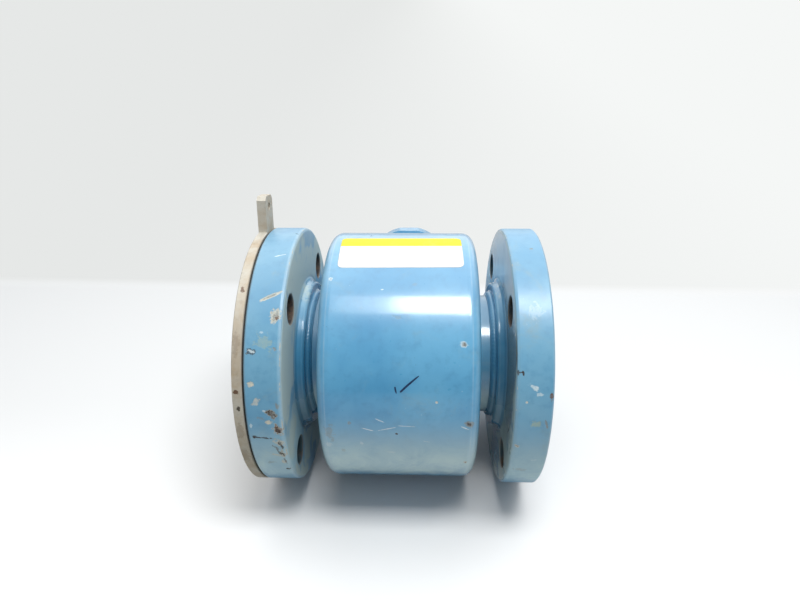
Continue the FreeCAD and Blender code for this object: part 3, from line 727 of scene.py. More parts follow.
class FlangePaintwork(Paintwork):
    """Enamel of a flange while it is wired up."""

    def __init__(self, enamel: FlangeEnamel) -> None:
        """Starts as for any enamel, and finds the hub and the back of the plate.

        Args:
            enamel: the finish to wire up.
        """
        super().__init__(enamel)
        self.out = self.graph.radius()
        self.off_back = self.graph.x.absolute() - PLAN.flange_back
        self.on_back = self.off_back.rise(1.0 * MM, 0.2 * MM)
        self.on_hub = self.out.rise(PLAN.hub_radius + 7.0 * MM, PLAN.hub_radius + 3.5 * MM)
        self.film = self.filmy()

    def layers(self) -> tuple[Callable[[], None], ...]:
        """The steps that age the paint, in order."""
        return (self.soil, self.tone_faces, self.lay_marks, self.wear_edges, self.rust_holes,
                self.scatter_specks)

    def roughness(self) -> Field:
        """Roughness of the paint, lower on the hub and on a face that shines."""
        shining = (self.on_back * self.enamel.face_gloss_and_painted_sheen).highest(self.on_hub * 0.26)
        return super().roughness() - shining

    def dullness(self) -> Field:
        """What chips, dirt and the film on the back add to the roughness."""
        return super().dullness().highest(self.film * (0.4 - self.enamel.face_gloss_and_painted_sheen))

    def tone_faces(self) -> None:
        """Lays the film on the back, paints a pale reflection on the top of a face that shines, and
        deepens the hub.
        """
        self.lay(self.film, self.enamel.face_dust)
        # Painted reflection: the top of a glossy face is paled, as if it mirrored the bright room.
        top = self.graph.height().rise(0.35, 0.95) * (1.0 - self.on_hub)
        inside = self.out.rise(PLAN.rim_radius - 1.5 * MM, PLAN.rim_radius - 4.0 * MM)
        self.lay(top * inside * self.enamel.face_gloss_and_painted_sheen * 3.0, self.enamel.painted_face_reflection)
        hub_sides = self.graph.height().rise(0.97, 0.7) * self.on_hub
        self.lay(hub_sides * 0.6, self.enamel.hub_blue)

    def filmy(self) -> Field:
        """Cover of the grey film: in patches on the back of the plate, and on top of the hub.

        Returns:
            The cover as a field.
        """
        hub = PLAN.hub_radius
        at_back = self.off_back.rise(1.6 * MM, 0.3 * MM) * self.off_back.rise(-2.5 * MM, -0.8 * MM)
        ring = self.out.rise(hub + 1.0 * MM, hub + 6.0 * MM)
        ring = ring * self.out.rise(PLAN.rim_radius - 0.4 * MM, PLAN.rim_radius - 2.6 * MM)
        patches = self.graph.noise(24.0, 3.0, 0.6).rise(0.41, 0.48)
        plate = at_back * ring * (self.smear.rise(0.28, 0.46) * 0.55 + 0.35) * (patches * 0.8 + 0.2)
        crest = self.out.rise(hub - 6.0 * MM, hub - 0.5 * MM)
        crest = crest * self.out.rise(hub + 8.0 * MM, hub + 4.0 * MM)
        on_top = self.graph.height().rise(0.95, 0.995)
        return plate.highest(crest * on_top * self.smear.rise(0.42, 0.60) * 0.8)

    def rust_holes(self) -> None:
        """Rusts the mouths and the walls of the bolt holes, and paints shade on the blue left on the
        walls.

        The turn is folded into one quarter with a hole in its middle, so one circle stands for
        all four.
        """
        graph, enamel, bore = self.graph, self.enamel, PLAN.bolt_hole_radius
        quarter = (graph.turn() - PLAN.first_bolt()).wrapped(-math.pi / 4, math.pi / 4)
        out = self.out * quarter.cosine() - PLAN.bolt_circle_radius
        distance = out.hypotenuse(self.out * quarter.sine())
        mouth = distance.rise(bore + 3.4 * MM, bore + 0.4 * MM)
        worn = (mouth * 0.7 + self.ragged * 0.5 + graph.noise(60.0, 3.0, 0.6) * 0.3).rise(0.84, 1.0)
        # The dark streak below the front upper hole is rust and grease, and also painted shade on the
        # face.
        if enamel.run_and_shade_cover > 0.0:
            self.lay(self.rust_run_and_shade(), enamel.run_and_shade_colour)
        self.lay(worn * 0.8, enamel.mouth_stain)
        # Painted shade: the paint left on the hole walls is a dark teal, the blue as it looks in the
        # shade of the hole; the rest is rust and scale.
        wall = distance.rise(bore + 0.9 * MM, bore + 0.2 * MM)
        rust = graph.noise(220.0, 4.0, 0.7).rise(0.35, 0.65)
        painted = graph.noise(34.0, 2.0, 0.5).rise(0.42, 0.52)
        rusty = graph.mix(rust, enamel.wall_scale, enamel.wall_rust)
        self.lay(wall * 0.95, graph.mix(painted * 0.85, rusty, enamel.wall_blue_in_painted_shade))
        self.chipped = self.chipped.highest(worn * 0.8).highest(wall * 0.6)

    def rust_run_and_shade(self) -> Field:
        """Cover of a dark streak straight down from the front upper hole: rust and grease, and also
        painted shade over the middle of the face below.

        Returns:
            The cover as a field.
        """
        turn = PLAN.first_bolt() + math.pi
        across = (self.graph.y + PLAN.bolt_circle_radius * math.cos(turn)).absolute()
        below = PLAN.bolt_circle_radius * math.sin(turn) - self.graph.z
        body = across.rise(46.0 * MM, 36.0 * MM) * below.rise(-6.0 * MM, 6.0 * MM)
        body = body * below.rise(120.0 * MM, 50.0 * MM)
        plate = self.on_back * (1.0 - self.on_hub)
        return body * plate * (self.ragged * 0.7 + 0.5) * self.enamel.run_and_shade_cover


@dataclass(frozen=True)
class WeatheredSteel:
    """Plain steel plate gone dull, with tan stains, brown spots of rust, a rusty tab hole, and a
    darker lower part that is partly dirt and partly painted shade.
    """

    name: str
    radius: float
    marks: tuple[Mark, ...] = ()
    clean: Colour = tint(200, 196, 184)
    stain: Colour = tint(176, 152, 118)
    grain: Colour = tint(150, 142, 128)
    spot: Colour = tint(92, 66, 48)
    # Darker colour towards the bottom: partly dirt, partly painted shade.
    low_dirt_and_shade: Colour = tint(124, 120, 102)
    hole_rust: Colour = tint(44, 38, 34)
    hole_turn: float = 87.5
    hole_out: float = 112.5 * MM
    hole_stain: float = 4.4 * MM

    def material(self) -> bpy.types.Material:
        """Builds the material.

        Returns:
            The finished material.
        """
        graph = Graph(self.name)
        cloud = graph.noise(22.0, 5.0, 0.7, 0.4)
        fine = graph.noise(240.0, 5.0, 0.65)
        ragged = graph.noise(RAGGED_SCALE, 6.0, 0.7)
        colour = graph.mix(cloud.rise(0.36, 0.66) * 0.8, self.clean, self.stain)
        colour = graph.mix(fine.rise(0.5, 0.8) * 0.45, colour, self.grain)
        pits = (graph.noise(95.0, 4.0, 0.6) * 0.8 + fine * 0.35).rise(0.76, 0.82)
        colour = graph.mix(pits * 0.85, colour, self.spot)
        for mark in self.marks:
            depth = stamp(graph, mark, self.radius, ragged)
            cover = (depth * MARK_CRISPNESS).held() * mark.cover
            colour = graph.mix(cover, colour, mark.coat.value)
        # Darker towards the bottom: partly dirt, partly painted shade on the lower side of the ring.
        low = (graph.height() + (cloud - 0.5) * 0.5).rise(0.56, -0.24)
        colour = graph.mix(low * 0.45, colour, self.low_dirt_and_shade)
        colour = graph.mix(self._tab_hole(graph), colour, self.hole_rust)
        graph.relief((fine, 0.08 * MM), (pits, -0.1 * MM))
        roughness = fine * 0.25 + 0.36 + pits * 0.3
        return graph.surface(colour, roughness, 0.3)

    def _tab_hole(self, graph: Graph) -> Field:
        """Rust in the hole of the tab and round its mouth.

        Args:
            graph: the material.

        Returns:
            Cover of the rust.
        """
        turn = math.radians(self.hole_turn)
        across = graph.y + self.hole_out * math.cos(turn)
        above = graph.z - self.hole_out * math.sin(turn)
        return across.hypotenuse(above).rise(self.hole_stain, self.hole_stain - 1.0 * MM)


class Bulk(Enum):
    """Plain finishes of small and inner pieces: colour, second colour, roughness, metal share."""

    RUBBER = (tint(30, 30, 31), tint(46, 46, 46), 0.62, 0.0)
    LINER = (tint(38, 37, 36), tint(66, 62, 57), 0.5, 0.0)
    TURNED_STEEL = (tint(190, 190, 186), tint(158, 156, 150), 0.32, 1.0)
    SPRING_STEEL = (tint(120, 120, 124), tint(84, 84, 90), 0.35, 1.0)
    CORE_IRON = (tint(112, 112, 116), tint(86, 80, 74), 0.45, 0.9)
    BLACK_MOULDING = (tint(34, 34, 36), tint(52, 52, 54), 0.48, 0.0)
    PALE_MOULDING = (tint(206, 200, 184), tint(188, 180, 160), 0.45, 0.0)
    COPPER = (tint(176, 98, 58), tint(138, 70, 40), 0.3, 0.85)
    WIRE = (tint(208, 204, 190), tint(180, 176, 160), 0.35, 0.0)
    ZINC = (tint(176, 176, 170), tint(142, 138, 128), 0.34, 1.0)
    BARE_CASTING = (tint(168, 168, 166), tint(138, 136, 132), 0.46, 0.9)
    RESIN = (tint(34, 34, 38), tint(48, 46, 46), 0.28, 0.0)

    def material(self) -> bpy.types.Material:
        """Builds the material, mottled between its two colours, with a fine grain.

        Returns:
            The finished material.
        """
        first, second, roughness, metal = self.value
        graph = Graph("finish_" + self.name.lower())
        patch = graph.noise(120.0, 4.0, 0.6)
        grain = graph.noise(1400.0, 2.0, 0.5)
        colour = graph.mix(patch.rise(0.35, 0.7), first, second)
        graph.relief((grain, 0.02 * MM), (patch, 0.04 * MM))
        return graph.surface(colour, grain * 0.12 + patch * 0.1 + (roughness - 0.11), metal)


# ---- Meshes from numpy surfaces -----------------------------------------------------------------

# Points nearer to each other than this are made one.
MERGE_DISTANCE = 1e-7


def add_object(name: str, data: bpy.types.ID) -> bpy.types.Object:
    """Makes an object of a mesh, a lamp or a camera, and links it to the scene.

    Args:
        name: name of the object.
        data: what it shows.

    Returns:
        The new object.
    """
    made = bpy.data.objects.new(name, data)
    bpy.context.scene.collection.objects.link(made)
    return made


def full_turn(count: int) -> np.ndarray:
    """Angles of a full turn in even steps."""
    return np.linspace(0.0, 2 * math.pi, count, endpoint=False)


def walked(u: np.ndarray, v: np.ndarray) -> np.ndarray:
    """Length walked along a flat line, up to each of its points."""
    return np.concatenate([[0.0], np.cumsum(np.hypot(np.diff(u), np.diff(v)))])


def surface_piece(name: str, points: np.ndarray, finish: bpy.types.Material,
                  wrap_rows: bool = False) -> bpy.types.Object:
    """Makes a closed piece from a grid of points and puts it on the body.

    Args:
        name: name of the piece.
        points: array of rows by columns by 3; the columns close on themselves.
        finish: its material.
        wrap_rows: whether the rows close on themselves too; otherwise each end row is one point.

    Returns:
        The new object.
    """
    rows, columns = points.shape[:2]
    row = np.arange(rows if wrap_rows else rows - 1)
    column = np.arange(columns)
    here_row, here_column = np.meshgrid(row, column, indexing="ij")
    next_row = (here_row + 1) % rows
    next_column = (here_column + 1) % columns
    quads = np.stack([
        here_row * columns + here_column, here_row * columns + next_column,
        next_row * columns + next_column, next_row * columns + here_column,
    ], axis=-1).reshape(-1, 4)
    mesh = bpy.data.meshes.new(name)
    mesh.from_pydata(points.reshape(-1, 3).tolist(), [], quads.tolist())
    work = bmesh.new()
    work.from_mesh(mesh)
    bmesh.ops.remove_doubles(work, verts=work.verts, dist=MERGE_DISTANCE)
    bmesh.ops.recalc_face_normals(work, faces=work.faces)
    for face in work.faces:
        face.smooth = True
    work.to_mesh(mesh)
    work.free()
    piece = add_object(name, mesh)
    mesh.materials.append(finish)
    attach(piece, BODY)
    LOG.info("%s: %s, %d faces", name, finish.name, len(mesh.polygons))
    return piece


def on_round(along: np.ndarray, turn: np.ndarray, radius: np.ndarray) -> np.ndarray:
    """Points at given lengths along the flow, turns and radii."""
    return np.stack([along, -radius * np.cos(turn), radius * np.sin(turn)], axis=-1)


def rounded_rectangle(half_long: float, half_short: float, corner: float,
                      count: int) -> np.ndarray:
    """Outline of a rectangle with round corners.

    Four quarter circles stand at the corners of the inner rectangle. The closed line through them
    is walked at an even pace.

    Args:
        half_long: half the long side.
        half_short: half the short side.
        corner: radius of the corners.
        count: number of points.

    Returns:
        Array of count by 2.
    """
    quarter = np.linspace(0.0, math.pi / 2, 24)
    angle = quarter[None, :] + np.arange(4)[:, None] * math.pi / 2
    signs = np.array([[1, 1], [-1, 1], [-1, -1], [1, -1]])
    inner = signs * np.array([half_long - corner, half_short - corner])
    arcs = inner[:, None, :] + corner * np.stack([np.cos(angle), np.sin(angle)], axis=-1)
    loop = arcs.reshape(-1, 2)
    loop = np.concatenate([loop, loop[:1]])
    gone = walked(loop[:, 0], loop[:, 1])
    even = np.linspace(0.0, gone[-1], count, endpoint=False)
    return np.stack([np.interp(even, gone, loop[:, 0]), np.interp(even, gone, loop[:, 1])], axis=-1)


@dataclass(frozen=True)
class Weld:
    """A fillet weld laid in short overlapping ripples along a closed path."""

    name: str
    thick: float = 2.5 * MM
    pitch: float = 2.6 * MM
    ripple: float = 0.22 * MM
    sides: int = 14

    def lay(self, path: np.ndarray, outward: np.ndarray,
            finish: bpy.types.Material) -> bpy.types.Object:
        """Lays the bead.

        A round bar follows the path. Once per pitch its radius falls by the ripple's height in a
        narrow groove. The groove comes a little later at the crown than at the sides, so each
        ripple is a crescent. Two slow waves make the bead uneven.

        Args:
            path: points of the closed path, evenly spaced.
            outward: unit directions that the crown of the bead faces, one per point.
            finish: its material.

        Returns:
            The bead.
        """
        ahead = np.roll(path, -1, axis=0) - np.roll(path, 1, axis=0)
        step = np.linalg.norm(np.roll(path, -1, axis=0) - path, axis=1).mean()
        ahead /= np.linalg.norm(ahead, axis=1, keepdims=True)
        side = np.cross(ahead, outward)
        side /= np.linalg.norm(side, axis=1, keepdims=True)
        crown = np.cross(side, ahead)
        share = np.arange(len(path)) / len(path)
        count = round(step * len(path) / self.pitch)
        around = full_turn(self.sides)
        phase = share[:, None] * count - 0.45 * np.cos(around)[None, :]
        groove = 1.0 - np.abs(np.sin(math.pi * phase)) ** 0.6
        slow = 0.05 * np.sin(2 * math.pi * share * 5 + 1.0) + 0.04 * np.sin(2 * math.pi * share * 11)
        radius = self.thick * (1.0 + slow[:, None]) - self.ripple * groove
        points = (path[:, None, :] + crown[:, None, :] * (radius * np.cos(around))[..., None]
                  + side[:, None, :] * (radius * np.sin(around))[..., None])
        return surface_piece(self.name, points, finish, wrap_rows=True)


# Points on the path of a weld round the tube, and of the one round the neck.
ROUND_PATH_POINTS = 840
NECK_PATH_POINTS = 540


def round_path(along: float, radius: float,
               out_along: float) -> tuple[np.ndarray, np.ndarray]:
    """Circle about the flow axis, with directions that lean out along the flow.

    Args:
        along: place along the flow.
        radius: radius of the circle.
        out_along: 1 or -1, the way along the flow that the directions lean, half and half.

    Returns:
        Points and unit directions.
    """
    turn = full_turn(ROUND_PATH_POINTS)
    even = np.ones_like(turn)
    points = on_round(along * even, turn, radius * even)
    directions = on_round(out_along * even, turn, even) / math.sqrt(2.0)
    return points, directions


# ---- Sub-assemblies -----------------------------------------------------------------------------

def dress(node: str, finish: bpy.types.Material) -> None:
    """Puts a material on a node of the frame, in place of what it had.

    Args:
        node: name of the node.
        finish: the material.
    """
    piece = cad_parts[node]
    piece.data.materials.clear()
    piece.data.materials.append(finish)
    LOG.info("%s: %s", node, finish.name)


BulkRows = tuple[tuple[Bulk, tuple[str, ...]], ...]


def dress_in_bulk(rows: BulkRows) -> None:
    """Gives many nodes a plain finish.

    Args:
        rows: plain finishes, each with the nodes that take it.
    """
    for finish, nodes in rows:
        material = finish.material()
        for node in nodes:
            dress(node, material)


@dataclass(frozen=True)
class FlangeWear:
    """How worn one flange is: its marks, its chipped edges, its glossy face with a reflection painted
    on its top, and its dark streak of rust, which also paints shade.
    """

    node: str
    side: int
    marks: tuple[Mark, ...]
    chips: float
    gloss_and_painted_sheen: float
    rust_run_and_shade: float


@dataclass
class Flanges:
    """The two slip-on flanges."""

    inlet_marks: tuple[Mark, ...] = (
        Mark(-75.0, 96.5, 2.4, 1.6, Coat.SCALE),
        Mark(-80.5, 77.5, 9.0, 0.9, Coat.SCUFF, 20.0),
        Mark(-81.0, 57.0, 18.0, 3.0, Coat.PRIMER, 28.0, 0.7, 1.0, Coat.GREY, 0.45),
        Mark(-77.0, 49.0, 7.5, 10.0, Coat.PRIMER, 0.0, 1.5, 0.9, Coat.GREY, 0.45),
        Mark(-76.0, 48.0, 2.6, 3.4, Coat.RUST, 0.0, 1.6),
        Mark(-82.5, 38.5, 13.0, 7.5, Coat.GREASE, -24.0, 2.8, 0.35),
        Mark(-91.0, 35.5, 4.6, 4.4, Coat.SCALE, 0.0, 2.4, 0.9, Coat.SCUFF, 0.5),
        Mark(-91.0, 23.0, 5.5, 3.4, Coat.PRIMER, 20.0, 1.8),
        Mark(-88.5, 16.0, 4.0, 9.0, Coat.PRIMER, -28.0, 1.6, 0.7),
        Mark(-79.5, 11.0, 8.4, 5.4, Coat.PRIMER, -30.0, 1.8, 1.0, Coat.SCALE, 0.12),
        Mark(-82.0, 7.5, 5.0, 3.0, Coat.PRIMER, 0.0, 1.6),
        Mark(-75.8, 4.0, 6.6, 10.0, Coat.PRIMER, 20.0, 1.8, 1.0, Coat.RUST, 0.15),
        Mark(-76.0, 3.6, 3.4, 6.0, Coat.SCALE, 20.0, 1.8, 0.9),
        Mark(-87.5, 0.0, 15.0, 1.6, Coat.SCALE, -6.0, 1.6),
        Mark(-91.5, 0.5, 4.0, 2.6, Coat.SCALE, 0.0, 1.8, 0.8),
        Mark(-77.0, -2.5, 5.6, 7.0, Coat.PRIMER, 30.0, 2.0, 0.9, Coat.SCALE, 0.5),
        Mark(-75.5, -9.5, 3.6, 11.0, Coat.PRIMER, 12.0, 2.0, 0.9, Coat.SCALE, 0.4),
        Mark(-75.0, -21.5, 3.6, 3.4, Coat.SCALE, 0.0, 1.6),
        Mark(-84.5, -15.5, 6.0, 3.0, Coat.GREY, 12.0, 2.2, 0.4),
        Mark(-84.5, 42.5, 3.0, 2.2, Coat.SCUFF, 0.0, 2.0, 0.7),
        Mark(-76.5, 36.5, 2.2, 3.2, Coat.GREY, 0.0, 2.0, 0.8),
        Mark(-84.0, 12.5, 2.4, 1.6, Coat.SCUFF, 0.0, 2.0, 0.9),
        Mark(-75.6, 14.5, 2.4, 5.0, Coat.GREY, 14.0, 2.2, 0.8),
        Mark(-86.0, 9.0, 5.0, 2.0, Coat.GREY, -20.0, 2.4, 0.5),
        Mark(-93.0, 6.0, 1.6, 5.0, Coat.SCUFF, 0.0, 2.0, 0.8),
        Mark(-79.0, -5.5, 3.0, 6.0, Coat.RUST, 24.0, 2.2, 0.8),
        Mark(-75.4, -4.5, 1.6, 6.0, Coat.SCALE, 14.0, 2.4, 0.9),
        Mark(-77.4, -8.5, 1.8, 5.0, Coat.SCALE, 30.0, 2.4, 0.8),
        Mark(-75.2, -14.0, 1.4, 7.0, Coat.RUST, 6.0, 2.4, 0.8),
        Mark(-80.5, -10.0, 5.0, 2.2, Coat.PRIMER, -20.0, 2.4, 0.7),
        Mark(-76.6, -15.0, 2.0, 5.0, Coat.PRIMER, 10.0, 2.2, 0.8),
        Mark(-84.0, 150.0, 16.0, 2.4, Coat.PRIMER, -18.0, 1.2, 0.9, Coat.GREY, 0.4),
        Mark(-78.0, -155.0, 6.0, 7.0, Coat.PRIMER, 10.0, 1.8, 0.9, Coat.RUST, 0.3),
        Mark(-88.0, 178.0, 5.0, 3.0, Coat.GREY, 0.0, 2.0, 0.7),
    )
    outlet_marks: tuple[Mark, ...] = (
        Mark(87.5, 83.0, 3.0, 1.8, Coat.GREY),
        # Painted highlight: a soft pale patch where the rim catches the bright softbox, with some
        # scuffing in it.
        Mark(85.0, 52.0, 9.0, 8.0, Coat.SCUFF, 0.0, 3.4, 0.25),
        Mark(73.4, 28.6, 1.3, 4.2, Coat.SCALE, 0.0, 0.9),
        Mark(76.4, 28.4, 1.5, 4.0, Coat.SCALE, 14.0, 0.9),
        Mark(75.0, 28.8, 3.0, 1.1, Coat.SCALE, 8.0, 0.9),
        Mark(84.0, 23.0, 6.5, 3.0, Coat.SCUFF, -24.0, 2.2, 0.9),
        Mark(87.0, 20.5, 4.5, 2.0, Coat.SCUFF, 20.0, 2.2, 0.8),
        Mark(79.0, 17.5, 2.0, 1.6, Coat.PRIMER),
        Mark(94.0, 20.0, 2.6, 5.5, Coat.RUST, 0.0, 1.4),
        Mark(86.5, 8.5, 7.5, 4.5, Coat.GREASE, 0.0, 2.0, 0.6),
        Mark(92.0, 8.5, 1.7, 6.5, Coat.GREY, 14.0, 1.8, 0.9),
        Mark(75.5, -2.0, 4.0, 4.0, Coat.PRIMER, 0.0, 2.0, 0.9, Coat.RUST, 0.4),
        Mark(88.5, -10.5, 5.0, 2.0, Coat.SCUFF, 10.0, 2.2, 0.5),
        Mark(80.0, -18.0, 7.0, 4.0, Coat.GREY, 0.0, 2.4, 0.35),
        Mark(82.0, 160.0, 10.0, 2.0, Coat.SCUFF, 24.0, 1.6, 0.8),
        Mark(90.0, -170.0, 5.0, 6.0, Coat.PRIMER, 0.0, 1.8, 0.9, Coat.GREY, 0.4),
    )
    weld_gap: float = 0.7 * MM

    def build(self) -> None:
        """Paints both flanges and lays the welds between their hubs and the tube."""
        for wear in (
                FlangeWear("inlet_flange", -1, self.inlet_marks, chips=1.0, gloss_and_painted_sheen=0.0, rust_run_and_shade=0.0),
                FlangeWear("outlet_flange", 1, self.outlet_marks, chips=0.3, gloss_and_painted_sheen=0.3, rust_run_and_shade=0.9)):
            enamel = self.enamel(wear).material()
            dress(wear.node, enamel)
            along = wear.side * (PLAN.hub_end - self.weld_gap)
            path, outward = round_path(along, PLAN.tube_radius + self.weld_gap, -wear.side)
            Weld(wear.node.replace("flange", "hub_weld")).lay(path, outward, enamel)

    def enamel(self, wear: FlangeWear) -> FlangeEnamel:
        """Finish of one flange.

        Args:
            wear: how worn the flange is.

        Returns:
            The finish, with the rim worn at its back and at its face.
        """
        back = Edge(wear.side * (PLAN.flange_back + 0.6 * MM), PLAN.rim_radius - 0.6 * MM,
                    reach=2.2 * MM, rub=0.1 + 0.7 * wear.chips, chips=wear.chips)
        face = Edge(wear.side * PLAN.flange_face, PLAN.rim_radius, rub=0.6, chips=0.5)
        return FlangeEnamel(
            wear.node + "_enamel", PLAN.rim_radius, wear.marks, (back, face),
            fresh=tint(82, 148, 186), faded=tint(112, 166, 194), grime_cover=0.4, dust_and_glow_cover=0.75,
            roughness=0.42, gloss_coat=0.35, coat_roughness=0.24,
            face_gloss_and_painted_sheen=wear.gloss_and_painted_sheen, run_and_shade_cover=wear.rust_run_and_shade)


@dataclass
class Spool:
    """The flow tube with its liner and the gasket of the ring."""

    inner: BulkRows = (
        (Bulk.LINER, ("liner",)),
        (Bulk.RUBBER, ("ring_gasket",)),
    )

    def build(self) -> None:
        """Finishes the tube, the liner and the gasket."""
        enamel = Enamel("tube_enamel", fresh=tint(64, 130, 166), faded=tint(84, 146, 178),
                        grime_cover=0.45, roughness=0.3)
        dress("flow_tube", enamel.material())
        dress_in_bulk(self.inner)


@dataclass
class GroundingRing:
    """The steel ring with its tab."""

    marks: tuple[Mark, ...] = (
        Mark(-100.5, 60.0, 2.8, 5.0, Coat.RUST, 10.0, 2.0, 0.8),
        Mark(-100.5, 20.0, 3.0, 3.4, Coat.RUST, 0.0, 1.8),
        Mark(-100.0, 13.0, 3.0, 3.6, Coat.SCALE, 0.0, 1.4),
        Mark(-100.5, 3.5, 5.0, 12.0, Coat.RUST, 0.0, 2.0, 0.3),
        Mark(-100.5, -10.5, 5.0, 14.0, Coat.RUST, 0.0, 2.0, 0.3),
        Mark(-100.5, 38.0, 5.0, 16.0, Coat.RUST, 0.0, 2.0, 0.25),
    )

    def build(self) -> None:
        """Finishes the ring."""
        finish = WeatheredSteel("ring_steel_weathered", PLAN.rim_radius, self.marks)
        dress("ground_ring", finish.material())


@dataclass
class Housing:
    """The housing with the film label and the pen tick on it."""

    marks: tuple[Mark, ...] = (
        Mark(40.5, 39.0, 5.2, 5.0, Coat.SCUFF, 0.0, 1.5, 0.8, Coat.GREY, 0.45),
        Mark(41.4, 39.0, 1.6, 2.8, Coat.SCALE, 0.0, 1.4, 0.6),
        Mark(-1.0, 49.5, 6.0, 2.6, Coat.GREY, -20.0, 2.4, 0.35),
        Mark(-11.0, 61.5, 2.4, 1.0, Coat.SCUFF),
        Mark(24.0, 16.0, 2.0, 1.6, Coat.PRIMER),
        Mark(-11.5, 7.5, 6.5, 0.9, Coat.SCUFF, -26.0, 0.8),
        Mark(-19.0, 3.0, 10.0, 0.9, Coat.SCUFF, -16.0, 0.8),
        Mark(-7.0, 3.5, 14.0, 0.9, Coat.SCUFF, 14.0, 1.0, 0.8),
        Mark(4.5, 5.0, 13.0, 0.9, Coat.SCUFF, -3.0, 1.0, 0.6),
        Mark(-1.0, 1.0, 1.8, 1.6, Coat.SCALE),
        Mark(-31.0, 6.0, 2.4, 2.6, Coat.GREY, 0.0, 1.6, 0.7),
        Mark(45.0, 6.4, 8.0, 5.4, Coat.GREY, -24.0, 1.2, 0.95, Coat.SCALE, 0.5),
        Mark(42.5, 4.5, 7.0, 1.0, Coat.SCUFF, -24.0, 0.8),
        Mark(-44.0, 1.0, 6.0, 14.0, Coat.GREY, 0.0, 2.4, 0.5),
        Mark(-45.5, -6.0, 5.0, 5.0, Coat.SCUFF, 0.0, 2.4, 0.6),
        Mark(-24.0, -4.5, 2.2, 3.0, Coat.SCUFF, 0.0, 1.4, 0.6),
        Mark(18.0, -3.0, 7.0, 1.2, Coat.SCUFF, -10.0, 1.8, 0.35),
        Mark(-36.0, -9.0, 3.0, 3.0, Coat.GREY, 0.0, 2.0, 0.35),
        Mark(10.0, 64.0, 3.0, 2.4, Coat.GREY, 0.0, 2.0, 0.25),
        Mark(-4.5, -10.0, 6.0, 1.6, Coat.SCUFF, 0.0, 1.6, 0.5),
        Mark(44.5, -17.0, 3.4, 3.4, Coat.PRIMER, 0.0, 1.4, 0.8, Coat.GREY, 0.4),
        Mark(-45.0, 66.5, 3.4, 4.4, Coat.SCUFF, 0.0, 1.4, 0.9, Coat.SCALE, 0.5),
        Mark(-22.5, 101.5, 3.0, 2.0, Coat.SCALE, 0.0, 1.4),
        Mark(12.0, 168.0, 16.0, 1.0, Coat.SCUFF, 22.0, 1.0, 0.7),
        Mark(-30.0, -164.0, 6.0, 5.0, Coat.GREY, 0.0, 2.0, 0.7),
    )
    label_turns: tuple[float, float] = (73.0, 97.5)
    label_ends: tuple[float, float] = (-42.0, 42.0)
    label_lean: float = 0.8
    label_corner: float = 3.6 * MM
    label_white: Colour = tint(222, 222, 218)
    label_yellow: Colour = tint(220, 204, 40)
    label_soil: Colour = tint(196, 190, 170)
    film: float = 0.12 * MM
    band_turn: float = 88.5
    pen_width: float = 1.3 * MM
    ink_height: float = 0.05 * MM
    ink_dark: Colour = tint(12, 34, 70)
    ink_thin: Colour = tint(24, 54, 96)
    weld_gap: float = 0.8 * MM
    weld_thick: float = 2.2 * MM

    def build(self) -> None:
        """Paints the housing and adds what lies on the paint."""
        enamel = Enamel("housing_enamel", PLAN.housing_radius, self.marks, self.edges(),
                        grime_cover=0.22, roughness=0.3, soft=0.25 * MM)
        paint = enamel.material()
        for node in ("housing_band", "housing_end_inlet", "housing_end_outlet"):
            dress(node, paint)
        for name, side in (("inlet", -1), ("outlet", 1)):
            path, outward = round_path(side * (PLAN.housing_half + self.weld_gap),
                                       PLAN.tube_radius + self.weld_gap, side)
            Weld(name + "_end_weld", self.weld_thick).lay(path, outward, paint)
        self.label()
        self.tick()

    def edges(self) -> tuple[Edge, ...]:
        """The pale edges: at each end the round corner, rubbed pale, and behind it a thin pale line a
        little way onto the round of the end.

        Returns:
            The edges, none of them chipped.
        """
        ends = (-1, 1)
        corners = tuple(Edge(end * (PLAN.housing_half - 2.3 * MM), PLAN.housing_radius - 2.3 * MM,
                             reach=2.6 * MM, rub=0.35, chips=0.0) for end in ends)
        # A thin pale line a little way onto the round of each end.
        pale_lines = tuple(Edge(end * (PLAN.housing_half - 5.7 * MM), PLAN.housing_radius - 0.3 * MM,
                           reach=0.7 * MM, rub=0.45, chips=0.0) for end in ends)
        return corners + pale_lines

    def label(self) -> bpy.types.Object:
        """Blank film label, wrapped on the band.

        The flat film is a pillow: rays from its middle to a rounded rectangle, out along the top
        and back along the underside. Its thickness is full until the last hundredth of the ray
        and falls to nothing at the outline. The flat lengths become length along the flow and
        turn.

        Returns:
            The label.
        """
        low_turn, high_turn = (math.radians(turn) for turn in self.label_turns)
        low_end, high_end = (end * MM for end in self.label_ends)
        half_round = (high_turn - low_turn) / 2 * PLAN.housing_radius
        outline = rounded_rectangle((high_end - low_end) / 2, half_round, self.label_corner, 240)
        out = np.concatenate([np.linspace(0.0, 0.97, 24), [0.985, 0.994, 1.0]])
        back = np.concatenate([[0.994, 0.97], np.linspace(0.9, 0.0, 12)])
        ray = np.concatenate([out, back])
        level = np.concatenate([np.full(out.size, 1.0), np.full(back.size, -0.5)])
        height = level * self.film * np.clip((1.0 - ray) / 0.012, 0.0, 1.0) ** 0.5
        lean = math.radians(self.label_lean)
        turned = np.array([[math.cos(lean), math.sin(lean)], [-math.sin(lean), math.cos(lean)]])
        flat = ray[:, None, None] * (outline @ turned)[None, :, :]
        along = flat[..., 0] + (low_end + high_end) / 2
        turn = (low_turn + high_turn) / 2 + flat[..., 1] / PLAN.housing_radius
        radius = PLAN.housing_radius + height[:, None] * np.ones_like(along)
        return surface_piece("blank_label", on_round(along, turn, radius), self.film_finish())

